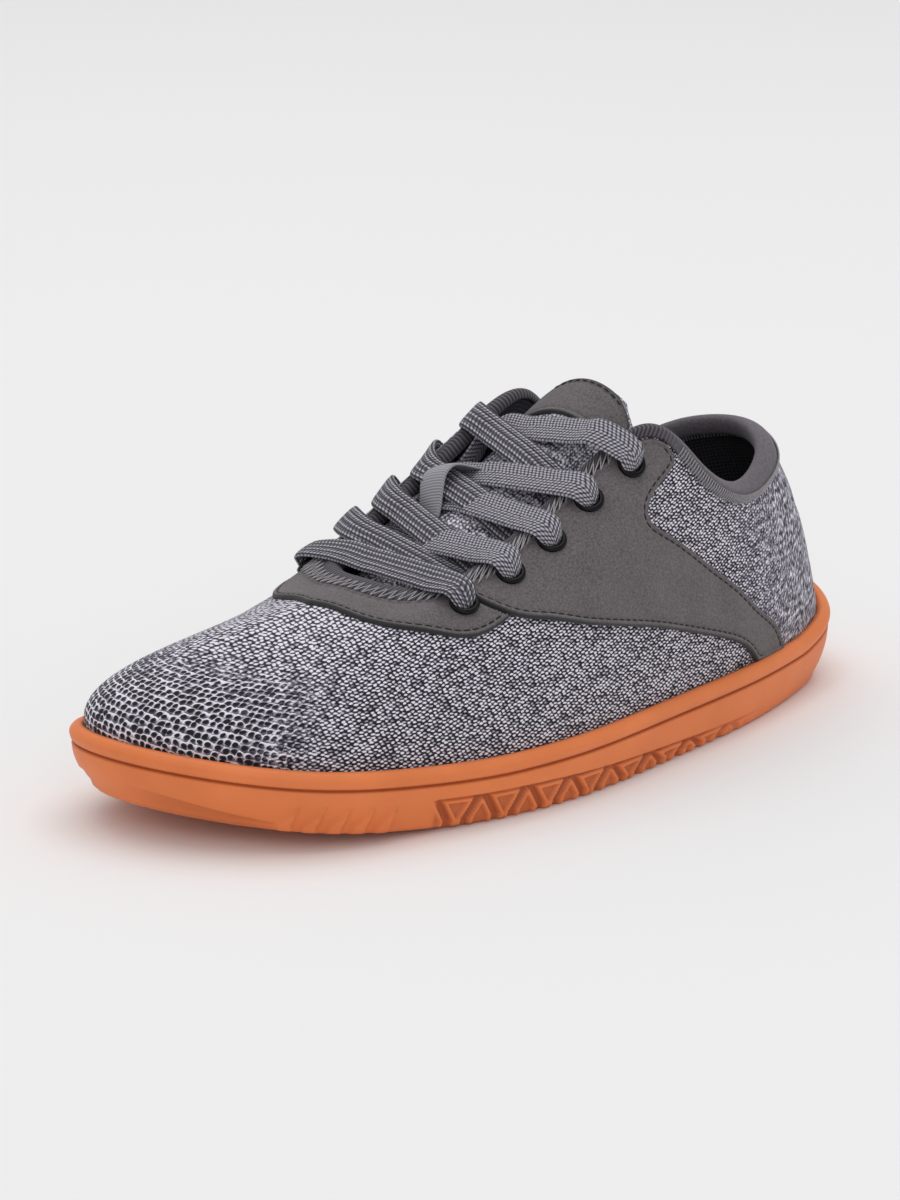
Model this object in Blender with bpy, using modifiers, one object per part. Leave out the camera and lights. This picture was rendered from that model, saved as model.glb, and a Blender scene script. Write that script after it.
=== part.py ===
"""A left knit sneaker on a gum cupsole, modelled piece by piece as it is made.

Units are metres. +Z is up, the heel is toward +Y, the toe toward -Y and the outer side of the
foot toward +X. The origin is on the floor, under the middle of the sole.

The upper is a ring of ribs. Ring position s counts the rows of RING from the heel, forward along
the outer side to the toe and back along the inner side. Rib position t is -1 at the upper's foot
in the cup, 0 at the sole's lip and 1 at the edge of collar and throat.
"""
from collections import namedtuple
from math import pi

import bmesh
import bpy
import numpy as np
from mathutils import Matrix

MM = 0.001
MERGE_DISTANCE = 0.00001

# Driving dimensions
SHOE_LENGTH = 0.282
BALL_WIDTH = 0.100
INSTEP_HEIGHT = 0.100
BEAD_HEIGHT = 0.020
CUP_FLOOR = 0.009
TOE_SPRING = 0.0115
HEEL_LIP = 0.009
ARCH_LIFT = 0.0020
ARCH_START = (0.27, 0.42)
ARCH_END = (0.46, 0.60)
ARCH_SIDES = (0.2, -0.4)
UPPER_WALL = 0.0020
GAP = 0.0003

# Outsole
BEAD_OUT = 0.0045
BEAD_DEPTH = 0.0055
GROOVE_DEPTH = 0.0012
GROOVE_HALF = 0.0006
WALL_BACK = 0.0006
LIP_SLOPE = 0.0004
EDGE_ROUND = 0.0024
SPRING_START = 0.64
SPRING_POWER = 1.7
HEEL_LIP_START = 0.14
LIP_POWER = 1.5
LUG_TOP = 0.0092
LUG_FOOT = 0.0012
LUG_DEPTH = 0.0014
LUG_ROOT = 0.0012
LUG_STEP = 0.0006
LUG_REACH = 0.86
LUG_FADE = 0.4
LUG_FIRST = 2.7
LUG_LAST = 6.5
LUGS_PER_SIDE = 15
RIPPLE_FIRST = 6.9
RIPPLE_STEP = 0.22
RIPPLES_PER_SIDE = 5
RIPPLE_WIDTH = 0.047
RIPPLE_LEAN = 0.12
RIPPLE_LOW = 0.0030
RIPPLE_TOP = 0.0100
RIPPLE_HEIGHT = 0.0007

# Bead above the groove, in millimetres back from its widest line and down from the lip
BeadRow = namedtuple("BeadRow", "back down")
BEAD = (
    BeadRow(0.4, 4.6),
    BeadRow(0.0, 2.7),
    BeadRow(1.0, 0.9),
    BeadRow(2.6, 0.0),
)

# Insole, overlays, tongue, eyelets and lace
INSOLE_THICKNESS = 0.003
OVERLAY_GAP = 0.00055
OVERLAY_THICKNESS = 0.0011
SEAM_GAP = 0.0006
TAPE_GAP = 0.0005
TAPE_OUTER = 0.0015
TONGUE_THICKNESS = 0.0030
FACING_THICKNESS = 0.0009
KEEPER_THICKNESS = 0.0007
KEEPER_WIDTH = 0.0088
KEEPER_START = 0.52
KEEPER_END = 0.66
KEEPER_ROWS = 5
EYELET_RADIUS = 0.0047
EYELET_HOLE = 0.0025
EYELET_BARREL = 0.0030
EYELET_CROWN = 0.0013
EYELET_INNER_DROP = 0.0005
EYELET_EDGE = 0.0002
EYELET_STEPS = 8
HOLE_CUT_DEPTH = 0.014
LACE_WIDTH = 0.0082
LACE_THICKNESS = 0.0018
LACE_LIFT = 0.5 * LACE_THICKNESS + 2.0 * GAP
LACE_BEND = 0.0028
LACE_NARROW = 0.55
LACE_LEAN = 0.15
LACE_FIRST_STEP = 0.18
LACE_STEP = 0.42
LACE_ACROSS = (-0.5, -0.1, 0.25)

# Mesh density
COLUMNS_PER_ROW = 3
FLOOR_STRIPS = 3
UPPER_RIB = (-1.0, 0.0, 0.12, 0.26, 0.42, 0.58, 0.73, 0.87, 1.0)
SADDLE_MESH = (13, 8)
VAMP_MESH = (10, 5)

# One row for each rib. Shares of SHOE_LENGTH: along, top_along. Shares of BALL_WIDTH: across,
# top_across, swell. Shares of INSTEP_HEIGHT: top_up, rise, drop. A rib leaves the lip rising by
# rise and swelling out by swell, and comes to the edge over the share run of its own spread, from
# drop below it. In millimetres: tuck of the sole's wall, tape (the binding's outer leg) and roll
# (the binding's thickness).
Rib = namedtuple("Rib", "along across top_along top_across top_up rise swell run drop tuck tape roll")
RING = (
    Rib(0.016, -0.004, 0.104, 0.000, 0.830, 0.20, -0.035, 0.56, 0.12, 6.5, 10.0, 3.0),
    Rib(0.051, 0.215, 0.124, 0.155, 0.810, 0.20, -0.035, 0.56, 0.12, 6.0, 10.0, 3.0),
    Rib(0.117, 0.315, 0.160, 0.245, 0.765, 0.22, 0.010, 0.48, 0.13, 5.0, 9.0, 2.8),
    Rib(0.241, 0.405, 0.227, 0.310, 0.738, 0.22, 0.030, 0.30, 0.15, 3.0, 6.5, 2.0),
    Rib(0.390, 0.460, 0.298, 0.320, 0.860, 0.24, 0.035, 0.30, 0.18, 1.5, 4.2, 1.3),
    Rib(0.528, 0.500, 0.362, 0.270, 1.000, 0.24, 0.035, 0.35, 0.20, 1.2, 2.8, 1.2),
    Rib(0.645, 0.480, 0.457, 0.210, 0.865, 0.22, 0.035, 0.40, 0.14, 1.8, 3.2, 1.2),
    Rib(0.759, 0.410, 0.553, 0.210, 0.725, 0.20, 0.030, 0.42, 0.09, 3.2, 3.8, 1.2),
    Rib(0.869, 0.295, 0.628, 0.175, 0.635, 0.18, 0.030, 0.45, 0.05, 5.0, 5.6, 1.2),
    Rib(0.949, 0.050, 0.668, 0.065, 0.620, 0.18, 0.030, 0.48, 0.05, 6.5, 6.6, 1.2),
    Rib(0.982, -0.220, 0.671, -0.060, 0.620, 0.19, 0.030, 0.46, 0.06, 7.0, 6.6, 1.2),
    Rib(0.954, -0.430, 0.664, -0.190, 0.616, 0.18, 0.025, 0.40, 0.11, 6.5, 6.6, 1.2),
    Rib(0.855, -0.500, 0.628, -0.290, 0.642, 0.17, 0.020, 0.34, 0.14, 4.0, 5.6, 1.2),
    Rib(0.730, -0.505, 0.553, -0.305, 0.745, 0.21, 0.020, 0.34, 0.14, 2.5, 3.8, 1.2),
    Rib(0.624, -0.470, 0.457, -0.285, 0.895, 0.24, 0.030, 0.38, 0.14, 2.5, 3.2, 1.2),
    Rib(0.518, -0.395, 0.362, -0.285, 1.008, 0.25, 0.040, 0.35, 0.20, 3.5, 2.8, 1.2),
    Rib(0.390, -0.320, 0.298, -0.310, 0.860, 0.24, 0.050, 0.30, 0.18, 3.5, 4.2, 1.3),
    Rib(0.241, -0.305, 0.227, -0.310, 0.738, 0.22, 0.050, 0.30, 0.15, 3.0, 6.5, 2.0),
    Rib(0.117, -0.315, 0.160, -0.245, 0.765, 0.22, 0.010, 0.48, 0.13, 5.0, 9.0, 2.8),
    Rib(0.050, -0.220, 0.124, -0.155, 0.810, 0.20, -0.035, 0.56, 0.12, 6.0, 10.0, 3.0),
)
RIB_SCALE = Rib(SHOE_LENGTH, BALL_WIDTH, SHOE_LENGTH, BALL_WIDTH, INSTEP_HEIGHT, INSTEP_HEIGHT,
                BALL_WIDTH, 1.0, INSTEP_HEIGHT, MM, MM, MM)
RING_ROWS = len(RING)
TOE_ROW = RING_ROWS // 2
COLUMNS = RING_ROWS * COLUMNS_PER_ROW

# Edges of the saddle, from the throat down to the sole, as ring and rib positions
SaddleRow = namedtuple("SaddleRow", "front_s front_t rear_s rear_t")
SADDLE = (
    SaddleRow(7.45, 0.935, 4.66, 0.965),
    SaddleRow(6.98, 0.770, 4.47, 0.915),
    SaddleRow(6.31, 0.585, 4.61, 0.815),
    SaddleRow(5.83, 0.490, 4.74, 0.735),
    SaddleRow(5.31, 0.405, 4.62, 0.665),
    SaddleRow(4.75, 0.350, 4.01, 0.615),
    SaddleRow(4.19, 0.305, 3.31, 0.460),
    SaddleRow(3.60, 0.225, 2.95, 0.290),
    SaddleRow(3.13, 0.110, 2.66, 0.150),
    SaddleRow(2.86, 0.035, 2.42, 0.035),
)
SADDLE_CORNER = 2.0 / 9.0

# Lower edge and upper ring position of the vamp stay, from the outer saddle to the toe's middle
VampRow = namedtuple("VampRow", "low_s low_t high_s")
VAMP = (
    VampRow(6.37, 0.575, 7.51),
    VampRow(6.72, 0.530, 7.70),
    VampRow(7.15, 0.580, 7.95),
    VampRow(7.98, 0.720, 8.40),
    VampRow(9.10, 0.830, 9.15),
    VampRow(10.0, 0.835, 10.0),
)
VAMP_SEAM = 0.06
VAMP_BLEND = 0.3

# Ring position of each eyelet along the edge of the throat, from the toe up, and its distance
# from that edge in millimetres
EyeletRow = namedtuple("EyeletRow", "s distance")
EYELETS = (
    EyeletRow(8.04, 13.0),
    EyeletRow(7.33, 9.0),
    EyeletRow(6.69, 9.4),
    EyeletRow(6.06, 8.9),
    EyeletRow(5.47, 8.2),
)

# Middle line and half width of the tongue, from under the vamp to its top, in millimetres:
# sag is how far its edges lie below its middle
TongueRow = namedtuple("TongueRow", "along centre up half sag")
TONGUE = (
    TongueRow(200, -7.0, 50.0, 16, 4.0),
    TongueRow(187, -7.0, 55.0, 23.5, 7.5),
    TongueRow(172, -6.5, 63.0, 27.5, 12.0),
    TongueRow(156, -5.5, 72.4, 29, 14.5),
    TongueRow(140, -4.5, 81.4, 29, 16.5),
    TongueRow(124, -3.5, 90.6, 29, 17.5),
    TongueRow(110, -2.0, 99.3, 27.5, 16.0),
    TongueRow(101, -0.5, 105.8, 23.5, 12.0),
    TongueRow(97, 0.0, 109.2, 13, 4.0),
)
TONGUE_COLUMNS = 9
TONGUE_STEPS = 12
FACING_START = 0.76
FACING_END = 0.99
FACING_HALF = 0.86
FACING_ROWS = 6

# A place of a lace's middle line, the direction out of its face there and its share of the full width
LaceSpot = namedtuple("LaceSpot", "point up share")


def spline_slopes(values, closed):
    """Slopes of a cubic spline through rows of values, one unit of s apart."""
    count = len(values)
    system = np.diag(np.full(count, 4.0))
    system += np.diag(np.ones(count - 1), 1) + np.diag(np.ones(count - 1), -1)
    change = 3.0 * (np.roll(values, -1, axis=0) - np.roll(values, 1, axis=0))
    if closed:
        system[0, -1] = system[-1, 0] = 1.0
    else:
        system[0, 0] = system[-1, -1] = 2.0
        change[0] = 3.0 * (values[1] - values[0])
        change[-1] = 3.0 * (values[-1] - values[-2])
    return np.linalg.solve(system, change)


def spline(values, slopes, s, closed):
    """Values of the spline at positions s."""
    count = len(values)
    s = np.asarray(s, dtype=float)
    if closed:
        s = s % count
        low = np.floor(s).astype(int) % count
        high = (low + 1) % count
    else:
        low = np.clip(np.floor(s).astype(int), 0, count - 2)
        high = low + 1
    u = (s - low)[..., None]
    return ((2 * u**3 - 3 * u**2 + 1) * values[low] + (u**3 - 2 * u**2 + u) * slopes[low]
            + (3 * u**2 - 2 * u**3) * values[high] + (u**3 - u**2) * slopes[high])


RING_VALUES = np.array(RING) * np.array(RIB_SCALE)
RING_SLOPES = spline_slopes(RING_VALUES, closed=True)


def table_at(rows, share):
    """Rows of a short table read at a share from 0 to 1 of its length, with its columns last."""
    values = np.array(rows, dtype=float)
    at = np.asarray(share) * (len(rows) - 1)
    return spline(values, spline_slopes(values, closed=False), at, closed=False)


def rib_at(s):
    return Rib(*np.moveaxis(spline(RING_VALUES, RING_SLOPES, s, closed=True), -1, 0))


def smooth_step(low, high, value):
    u = np.clip((value - low) / (high - low), 0.0, 1.0)
    return u * u * (3.0 - 2.0 * u)


def place(along, across, up):
    """World points from a distance along the shoe from its heel, across it and up."""
    return np.stack(np.broadcast_arrays(across, SHOE_LENGTH / 2.0 - along, up), axis=-1)


def unit(vectors):
    return vectors / np.linalg.norm(vectors, axis=-1, keepdims=True)


def toe_spring(along):
    share = np.clip((along / SHOE_LENGTH - SPRING_START) / (1.0 - SPRING_START), 0.0, 1.0)
    return TOE_SPRING * share**SPRING_POWER


def lip_height(along):
    """Top of the sole's bead: it follows the toe spring and rises behind the heel."""
    share = np.clip(1.0 - along / SHOE_LENGTH / HEEL_LIP_START, 0.0, 1.0)
    return BEAD_HEIGHT + toe_spring(along) + HEEL_LIP * share**LIP_POWER


def ground_height(along, across):
    """Underside of the sole: flat at heel and ball, with a low arch that is higher inside."""
    share = along / SHOE_LENGTH
    window = smooth_step(*ARCH_START, share) * (1.0 - smooth_step(*ARCH_END, share))
    inner = smooth_step(*ARCH_SIDES, across / BALL_WIDTH)
    return toe_spring(along) + ARCH_LIFT * window * inner


def plan_normal(s):
    """Outward direction across the outline, in along and across."""
    ahead = rib_at(s + 0.001)
    behind = rib_at(s - 0.001)
    return unit(np.stack([behind.across - ahead.across, ahead.along - behind.along], axis=-1))


def outline(s, out):
    """Along and across of the upper's foot line, moved out."""
    rib = rib_at(s)
    normal = plan_normal(s)
    return rib.along + normal[..., 0] * out, rib.across + normal[..., 1] * out


def upper_point(s, t):
    """Outer face of the upper."""
    s, t = np.broadcast_arrays(np.asarray(s, dtype=float), np.asarray(t, dtype=float))
    rib = rib_at(s)
    swell_along, swell_across = outline(s, rib.swell)
    lip = lip_height(rib.along)
    foot = CUP_FLOOR + toe_spring(rib.along) + GAP
    start = np.stack([rib.along, rib.across, lip], axis=-1)
    leave = np.stack([swell_along, swell_across, lip + rib.rise], axis=-1)
    end = np.stack([rib.top_along, rib.top_across, rib.top_up], axis=-1)
    arrive = end + (start - end) * rib.run[..., None]
    arrive[..., 2] = rib.top_up - rib.drop
    u = np.clip(t, 0.0, 1.0)[..., None]
    point = ((1 - u)**3 * start + 3 * u * (1 - u)**2 * leave + 3 * u**2 * (1 - u) * arrive + u**3 * end)
    point[..., 2] += np.minimum(t, 0.0) * (lip - foot)
    return place(point[..., 0], point[..., 1], point[..., 2])


def upper_slopes(s, t):
    """Steps of the outer face along the ring and up the rib."""
    step = 0.002
    low = np.clip(t - step, -1.0, 1.0)
    high = np.clip(t + step, -1.0, 1.0)
    along_ring = (upper_point(s + step, t) - upper_point(s - step, t)) / (2.0 * step)
    up_rib = (upper_point(s, high) - upper_point(s, low)) / (high - low)[..., None]
    return along_ring, up_rib


def skin(s, t, depth):
    """Point at a depth outside the upper's outer face, or inside it where depth is negative."""
    s, t, depth = np.broadcast_arrays(*(np.asarray(value, dtype=float) for value in (s, t, depth)))
    along_ring, up_rib = upper_slopes(s, t)
    return upper_point(s, t) + unit(np.cross(up_rib, along_ring)) * depth[..., None]


def below_edge(s, distance):
    """Rib position at a distance square to the edge of collar and throat, for narrow tapes."""
    s = np.asarray(s, dtype=float)
    along_ring, up_rib = upper_slopes(s, np.ones_like(s))
    across_edge = unit(np.cross(along_ring, np.cross(up_rib, along_ring)))
    return 1.0 - distance / np.sum(up_rib * across_edge, axis=-1)


def square_from_edge(s, distance):
    """Ring and rib position reached over the outer face, straight away from the edge."""
    t = np.array(1.0)
    edge = unit(upper_slopes(np.array(s), t)[0])
    steps = 12
    for step in range(steps):
        along_ring, up_rib = upper_slopes(np.array(s), t)
        out = np.cross(up_rib, along_ring)
        away = unit(np.cross(out, edge)) * distance / steps
        if np.dot(away, up_rib) > 0.0:
            away = -away
        change = np.linalg.lstsq(np.stack([along_ring, up_rib], axis=1), away, rcond=None)[0]
        s = s + change[0]
        t = t + change[1]
    return np.array(s), t


def edge_point(s, depth, beyond):
    """Point at a depth outside the outer face at the edge, moved up past the edge."""
    along_ring, up_rib = upper_slopes(s, np.ones_like(s))
    across_edge = unit(np.cross(along_ring, np.cross(up_rib, along_ring)))
    return skin(s, np.ones_like(s), depth) + across_edge * np.asarray(beyond)[..., None]


def tongue_point(v, w, depth):
    """Point over the tongue's top face: v runs to its top, w from its inner to its outer edge."""
    v, w = np.broadcast_arrays(np.asarray(v, dtype=float), np.asarray(w, dtype=float))

    def face(v, w):
        row = TongueRow(*np.moveaxis(table_at(TONGUE, v) * MM, -1, 0))
        return place(row.along, row.centre + row.half * w, row.up - row.sag * w**2)

    step = 0.002
    down = (face(v + step, w) - face(v - step, w))
    side = (face(v, w + step) - face(v, w - step))
    return face(v, w) + unit(np.cross(side, down)) * np.asarray(depth)[..., None]


def material(name, colour, roughness):
    made = bpy.data.materials.new(name)
    made.use_nodes = True
    shader = made.node_tree.nodes["Principled BSDF"]
    shader.inputs["Base Color"].default_value = (*colour, 1.0)
    shader.inputs["Roughness"].default_value = roughness
    shader.inputs["Metallic"].default_value = 0.0
    made.diffuse_color = (*colour, 1.0)
    return made


def add_piece(name, points, faces, finish, collection):
    """A closed mesh object with its faces pointing out."""
    mesh = bpy.data.meshes.new(name)
    mesh.from_pydata(np.reshape(points, (-1, 3)).tolist(), [], faces)
    work = bmesh.new()
    work.from_mesh(mesh)
    bmesh.ops.recalc_face_normals(work, faces=work.faces)
    work.to_mesh(mesh)
    work.free()
    mesh.shade_smooth()
    mesh.set_sharp_from_angle(angle=pi / 6.0)
    mesh.materials.append(finish)
    piece = bpy.data.objects.new(name, mesh)
    collection.objects.link(piece)
    return piece


def section_faces(rows, points, ring):
    """Quads between neighbouring closed sections, round a ring or along a run."""
    faces = []
    for row in range(rows if ring else rows - 1):
        ahead = (row + 1) % rows
        for point in range(points):
            beside = (point + 1) % points
            faces.append((row * points + point, row * points + beside,
                          ahead * points + beside, ahead * points + point))
    return faces


def add_ring(name, sections, finish, collection):
    """A solid of closed sections that run round a ring."""
    rows, points = sections.shape[:2]
    return add_piece(name, sections, section_faces(rows, points, ring=True), finish, collection)


def add_slab(name, outer, inner, finish, collection):
    """A sheet between two faces of rows and columns of points."""
    rows, columns = outer.shape[:2]
    sections = np.concatenate([outer, inner[:, ::-1]], axis=1)
    points = 2 * columns
    faces = section_faces(rows, points, ring=False)
    for start in (0, (rows - 1) * points):
        for column in range(columns - 1):
            back = points - 1 - column
            faces.append((start + column, start + column + 1, start + back - 1, start + back))
    return add_piece(name, sections, faces, finish, collection)


def ring_positions():
    return np.arange(COLUMNS) / COLUMNS_PER_ROW


def floor_grid(first, ring_start, edge, height):
    """Points and faces that close a ring of points with lines across it, at a height by place.

    first is the index of the next new point and ring_start that of the ring's own first point.
    """
    half = COLUMNS // 2
    points = []
    lines = [[ring_start] * (FLOOR_STRIPS + 1)]
    for column in range(1, half):
        other = COLUMNS - column
        line = [ring_start + column]
        for strip in range(1, FLOOR_STRIPS):
            spot = edge[column] + (edge[other] - edge[column]) * strip / FLOOR_STRIPS
            spot[2] = height(SHOE_LENGTH / 2.0 - spot[1], spot[0])
            line.append(first + len(points))
            points.append(spot)
        lines.append(line + [ring_start + other])
    lines.append([ring_start + half] * (FLOOR_STRIPS + 1))
    faces = []
    for line, ahead in zip(lines, lines[1:]):
        for strip in range(FLOOR_STRIPS):
            corners = (line[strip], line[strip + 1], ahead[strip + 1], ahead[strip])
            faces.append(tuple(dict.fromkeys(corners)))
    return points, faces


def wall_out(s, height):
    """How far the sole's wall stands out from the upper's foot line at a height over its underside."""
    rib = rib_at(s)
    wall = lip_height(rib.along) - toe_spring(rib.along) - BEAD_DEPTH
    return BEAD_OUT - WALL_BACK - rib.tuck * (1.0 - np.clip(height / wall, 0.0, 1.0))**2


def lug_window(s):
    """1 along the part of either side that has lugs, else 0."""
    side = TOE_ROW - np.abs(s - TOE_ROW)
    start = smooth_step(LUG_FIRST - LUG_FADE, LUG_FIRST, side)
    return start * (1.0 - smooth_step(LUG_LAST, LUG_LAST + LUG_FADE, side))


def wall_point(s, height, depth):
    """Point of the sole's wall at a height over its underside, moved out by a depth."""
    along, across = outline(s, wall_out(s, height) + depth)
    return place(along, across, toe_spring(rib_at(s).along) + height)


def sole_rings():
    """Rings of points of the sole, from the edge of its underside over the bead to the cup's floor."""
    s = ring_positions()
    rib = rib_at(s)
    spring = toe_spring(rib.along)
    lip = lip_height(rib.along)
    step = LUG_DEPTH * lug_window(s)
    low = wall_out(s, EDGE_ROUND)
    rings = []

    def ring(out, up):
        along, across = outline(s, out)
        rings.append(place(along, across, up))

    along, across = outline(s, low - EDGE_ROUND)
    rings.append(place(along, across, ground_height(along, across)))
    ring(low - step, spring + EDGE_ROUND)
    ring(wall_out(s, LUG_TOP) - step, spring + LUG_TOP + LUG_STEP)
    ring(wall_out(s, LUG_TOP), spring + LUG_TOP + 2.0 * LUG_STEP)
    ring(BEAD_OUT - WALL_BACK, lip - BEAD_DEPTH - GROOVE_HALF)
    ring(BEAD_OUT - WALL_BACK - GROOVE_DEPTH, lip - BEAD_DEPTH)
    for row in BEAD:
        ring(BEAD_OUT - row.back * MM, lip - row.down * MM)
    ring(GAP, lip - LIP_SLOPE)
    ring(GAP, CUP_FLOOR + spring)
    return rings


def lug_prism(corners, depth_low, depth_high):
    """Six points of a three-sided lug: its root in the wall, then its face."""
    return [wall_point(s, height, depth) for depth in (depth_low, depth_high) for s, height in corners]


def lug_shapes():
    """Corner lists of the lugs along both sides, turn by turn point up and point down."""
    pitch = (LUG_LAST - LUG_FIRST) / LUGS_PER_SIDE
    shapes = []
    for index in range(LUGS_PER_SIDE):
        middle = LUG_FIRST + (index + 0.5) * pitch
        reach = LUG_REACH * pitch
        low = LUG_FOOT
        high = LUG_TOP - GAP
        if index % 2:
            low, high = high, low
        corners = [(middle - reach, low), (middle + reach, low), (middle, high)]
        shapes.append(corners)
        shapes.append([(RING_ROWS - s, height) for s, height in corners])
    return shapes


def ripple_shapes():
    """Corner lists of the slanted ribs on either side of the toe's wall."""
    shapes = []
    for index in range(RIPPLES_PER_SIDE):
        foot = RIPPLE_FIRST + index * RIPPLE_STEP
        corners = [(foot, RIPPLE_LOW), (foot + RIPPLE_WIDTH, RIPPLE_LOW), (foot - RIPPLE_LEAN, RIPPLE_TOP)]
        shapes.append(corners)
        shapes.append([(RING_ROWS - s, height) for s, height in corners])
    return shapes


def make_outsole(finish, parts, cutters):
    rings = sole_rings()
    count = len(rings)
    points = list(np.reshape(rings, (-1, 3)))
    faces = []
    for ring in range(count - 1):
        for column in range(COLUMNS):
            beside = (column + 1) % COLUMNS
            faces.append((ring * COLUMNS + column, ring * COLUMNS + beside,
                          (ring + 1) * COLUMNS + beside, (ring + 1) * COLUMNS + column))
    under, under_faces = floor_grid(len(points), 0, rings[0], ground_height)
    points += under
    floor, floor_faces = floor_grid(len(points), (count - 1) * COLUMNS, rings[-1],
                                    lambda along, across: CUP_FLOOR + toe_spring(along))
    points += floor
    sole = add_piece("outsole", points, faces + under_faces + floor_faces, finish, parts)

    prism = ((0, 1, 2), (5, 4, 3), (0, 3, 4, 1), (1, 4, 5, 2), (2, 5, 3, 0))
    lug_points = []
    lug_faces = []
    for corners in lug_shapes():
        lug_faces += [tuple(len(lug_points) + index for index in face) for face in prism]
        lug_points += lug_prism(corners, -LUG_DEPTH - LUG_ROOT, 0.0)
    for corners in ripple_shapes():
        lug_faces += [tuple(len(lug_points) + index for index in face) for face in prism]
        lug_points += lug_prism(corners, -LUG_ROOT, RIPPLE_HEIGHT)
    lugs = add_piece("sole_lugs", lug_points, lug_faces, finish, cutters)
    join = sole.modifiers.new("lugs", "BOOLEAN")
    join.operation = "UNION"
    join.solver = "EXACT"
    join.object = lugs
    return sole


def make_insole(finish, parts):
    s = ring_positions()
    along, across = outline(s, -UPPER_WALL - GAP)
    height = CUP_FLOOR + GAP + toe_spring(along)
    low = place(along, across, height)
    high = place(along, across, height + INSOLE_THICKNESS)
    points = list(low) + list(high)
    faces = [(column, (column + 1) % COLUMNS, COLUMNS + (column + 1) % COLUMNS, COLUMNS + column)
             for column in range(COLUMNS)]
    for start, edge, rise in ((0, low, 0.0), (COLUMNS, high, INSOLE_THICKNESS)):
        grid, grid_faces = floor_grid(len(points), start, edge,
                                      lambda along, across: CUP_FLOOR + GAP + rise + toe_spring(along))
        points += grid
        faces += grid_faces
    return add_piece("insole", points, faces, finish, parts)


def make_upper(finish, parts):
    s = ring_positions()[:, None]
    t = np.array(UPPER_RIB)[None, :]
    outer = skin(s, t, 0.0)
    inner = skin(s, t, -UPPER_WALL)
    sections = np.concatenate([outer, inner[:, ::-1]], axis=1)
    return add_ring("upper", sections, finish, parts)


def make_binding(finish, parts):
    """Tape folded over the edge of collar and throat, with a thicker roll at the heel."""
    s = ring_positions()
    rib = rib_at(s)
    leg_t = below_edge(s, rib.tape)
    half_t = below_edge(s, 0.5 * rib.tape)
    inside = -UPPER_WALL - TAPE_GAP
    over = np.full_like(s, TAPE_GAP)
    outer = np.minimum(rib.roll, TAPE_OUTER)
    sections = np.stack([
        skin(s, leg_t, TAPE_GAP),
        skin(s, half_t, TAPE_GAP),
        edge_point(s, over, over),
        edge_point(s, np.full_like(s, inside), over),
        skin(s, leg_t, inside),
        skin(s, leg_t, inside - 0.6 * rib.roll),
        edge_point(s, inside - rib.roll, over - 0.3 * rib.roll),
        edge_point(s, np.full_like(s, -0.5 * UPPER_WALL), over + rib.roll),
        edge_point(s, TAPE_GAP + outer, over - 0.3 * rib.roll),
        skin(s, half_t, TAPE_GAP + outer),
        skin(s, leg_t, TAPE_GAP + 0.6 * outer),
    ], axis=1)
    return add_ring("collar_binding", sections, finish, parts)


def add_overlay(name, s, t, finish, parts):
    """A sheet over the upper between its own face and one a thickness further out."""
    outer = skin(s, t, OVERLAY_GAP + OVERLAY_THICKNESS)
    inner = skin(s, t, OVERLAY_GAP)
    return add_slab(name, outer, inner, finish, parts)


def under_binding(s):
    """Rib position just below the binding's outer leg."""
    return below_edge(s, rib_at(s).tape + SEAM_GAP)


def saddle_spots(v, u, mirrored):
    """Ring and rib positions of the saddle, down it by v and from its front to its rear edge by u."""
    row = SaddleRow(*np.moveaxis(table_at(SADDLE, v), -1, 0))
    top = SADDLE[0]
    s = row.front_s * (1.0 - u) + row.rear_s * u
    t = row.front_t * (1.0 - u) + row.rear_t * u
    top_s = top.front_s * (1.0 - u) + top.rear_s * u
    top_t = top.front_t * (1.0 - u) + top.rear_t * u
    if mirrored:
        s = RING_ROWS - s
        top_s = RING_ROWS - top_s
    return s, t + (under_binding(top_s) - top_t) * (1.0 - v)**3


def make_saddle(name, mirrored, finish, parts):
    v = np.linspace(0.0, 1.0, SADDLE_MESH[0])[:, None]
    u = np.linspace(0.0, 1.0, SADDLE_MESH[1])[None, :]
    s, t = saddle_spots(v, u, mirrored)
    return add_overlay(name, s, t, finish, parts)


def vamp_half(mirrored):
    """Ring and rib positions of one half of the vamp stay, from the saddle's front edge to the toe."""
    share = np.linspace(0.0, 1.0, VAMP_MESH[0])[:, None]
    w = np.linspace(0.0, 1.0, VAMP_MESH[1])[None, :]
    row = VampRow(*np.moveaxis(table_at(VAMP, share), -1, 0))
    s = row.low_s * (1.0 - w) + row.high_s * w
    seam_s, seam_t = saddle_spots(SADDLE_CORNER * (1.0 - w), 0.0, mirrored)
    if mirrored:
        s = RING_ROWS - s
    seam_s = seam_s + (-VAMP_SEAM if mirrored else VAMP_SEAM)
    near_saddle = 1.0 - smooth_step(0.0, VAMP_BLEND, share)
    s = s + (seam_s - s[:1]) * near_saddle
    t = row.low_t * (1.0 - w) + under_binding(s[:, -1:]) * w
    t = t + (seam_t - t[:1]) * near_saddle * (1.0 - w**4)
    return s, t


def make_vamp_stay(finish, parts):
    outer_s, outer_t = vamp_half(mirrored=False)
    inner_s, inner_t = vamp_half(mirrored=True)
    s = np.concatenate([outer_s, inner_s[-2::-1]])
    t = np.concatenate([outer_t, inner_t[-2::-1]])
    return add_overlay("vamp_stay", s, t, finish, parts)


def make_tongue(finish, parts):
    v = np.linspace(0.0, 1.0, TONGUE_STEPS)[:, None]
    w = np.linspace(-1.0, 1.0, TONGUE_COLUMNS)[None, :]
    return add_slab("tongue", tongue_point(v, w, 0.0), tongue_point(v, w, -TONGUE_THICKNESS), finish, parts)


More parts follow.
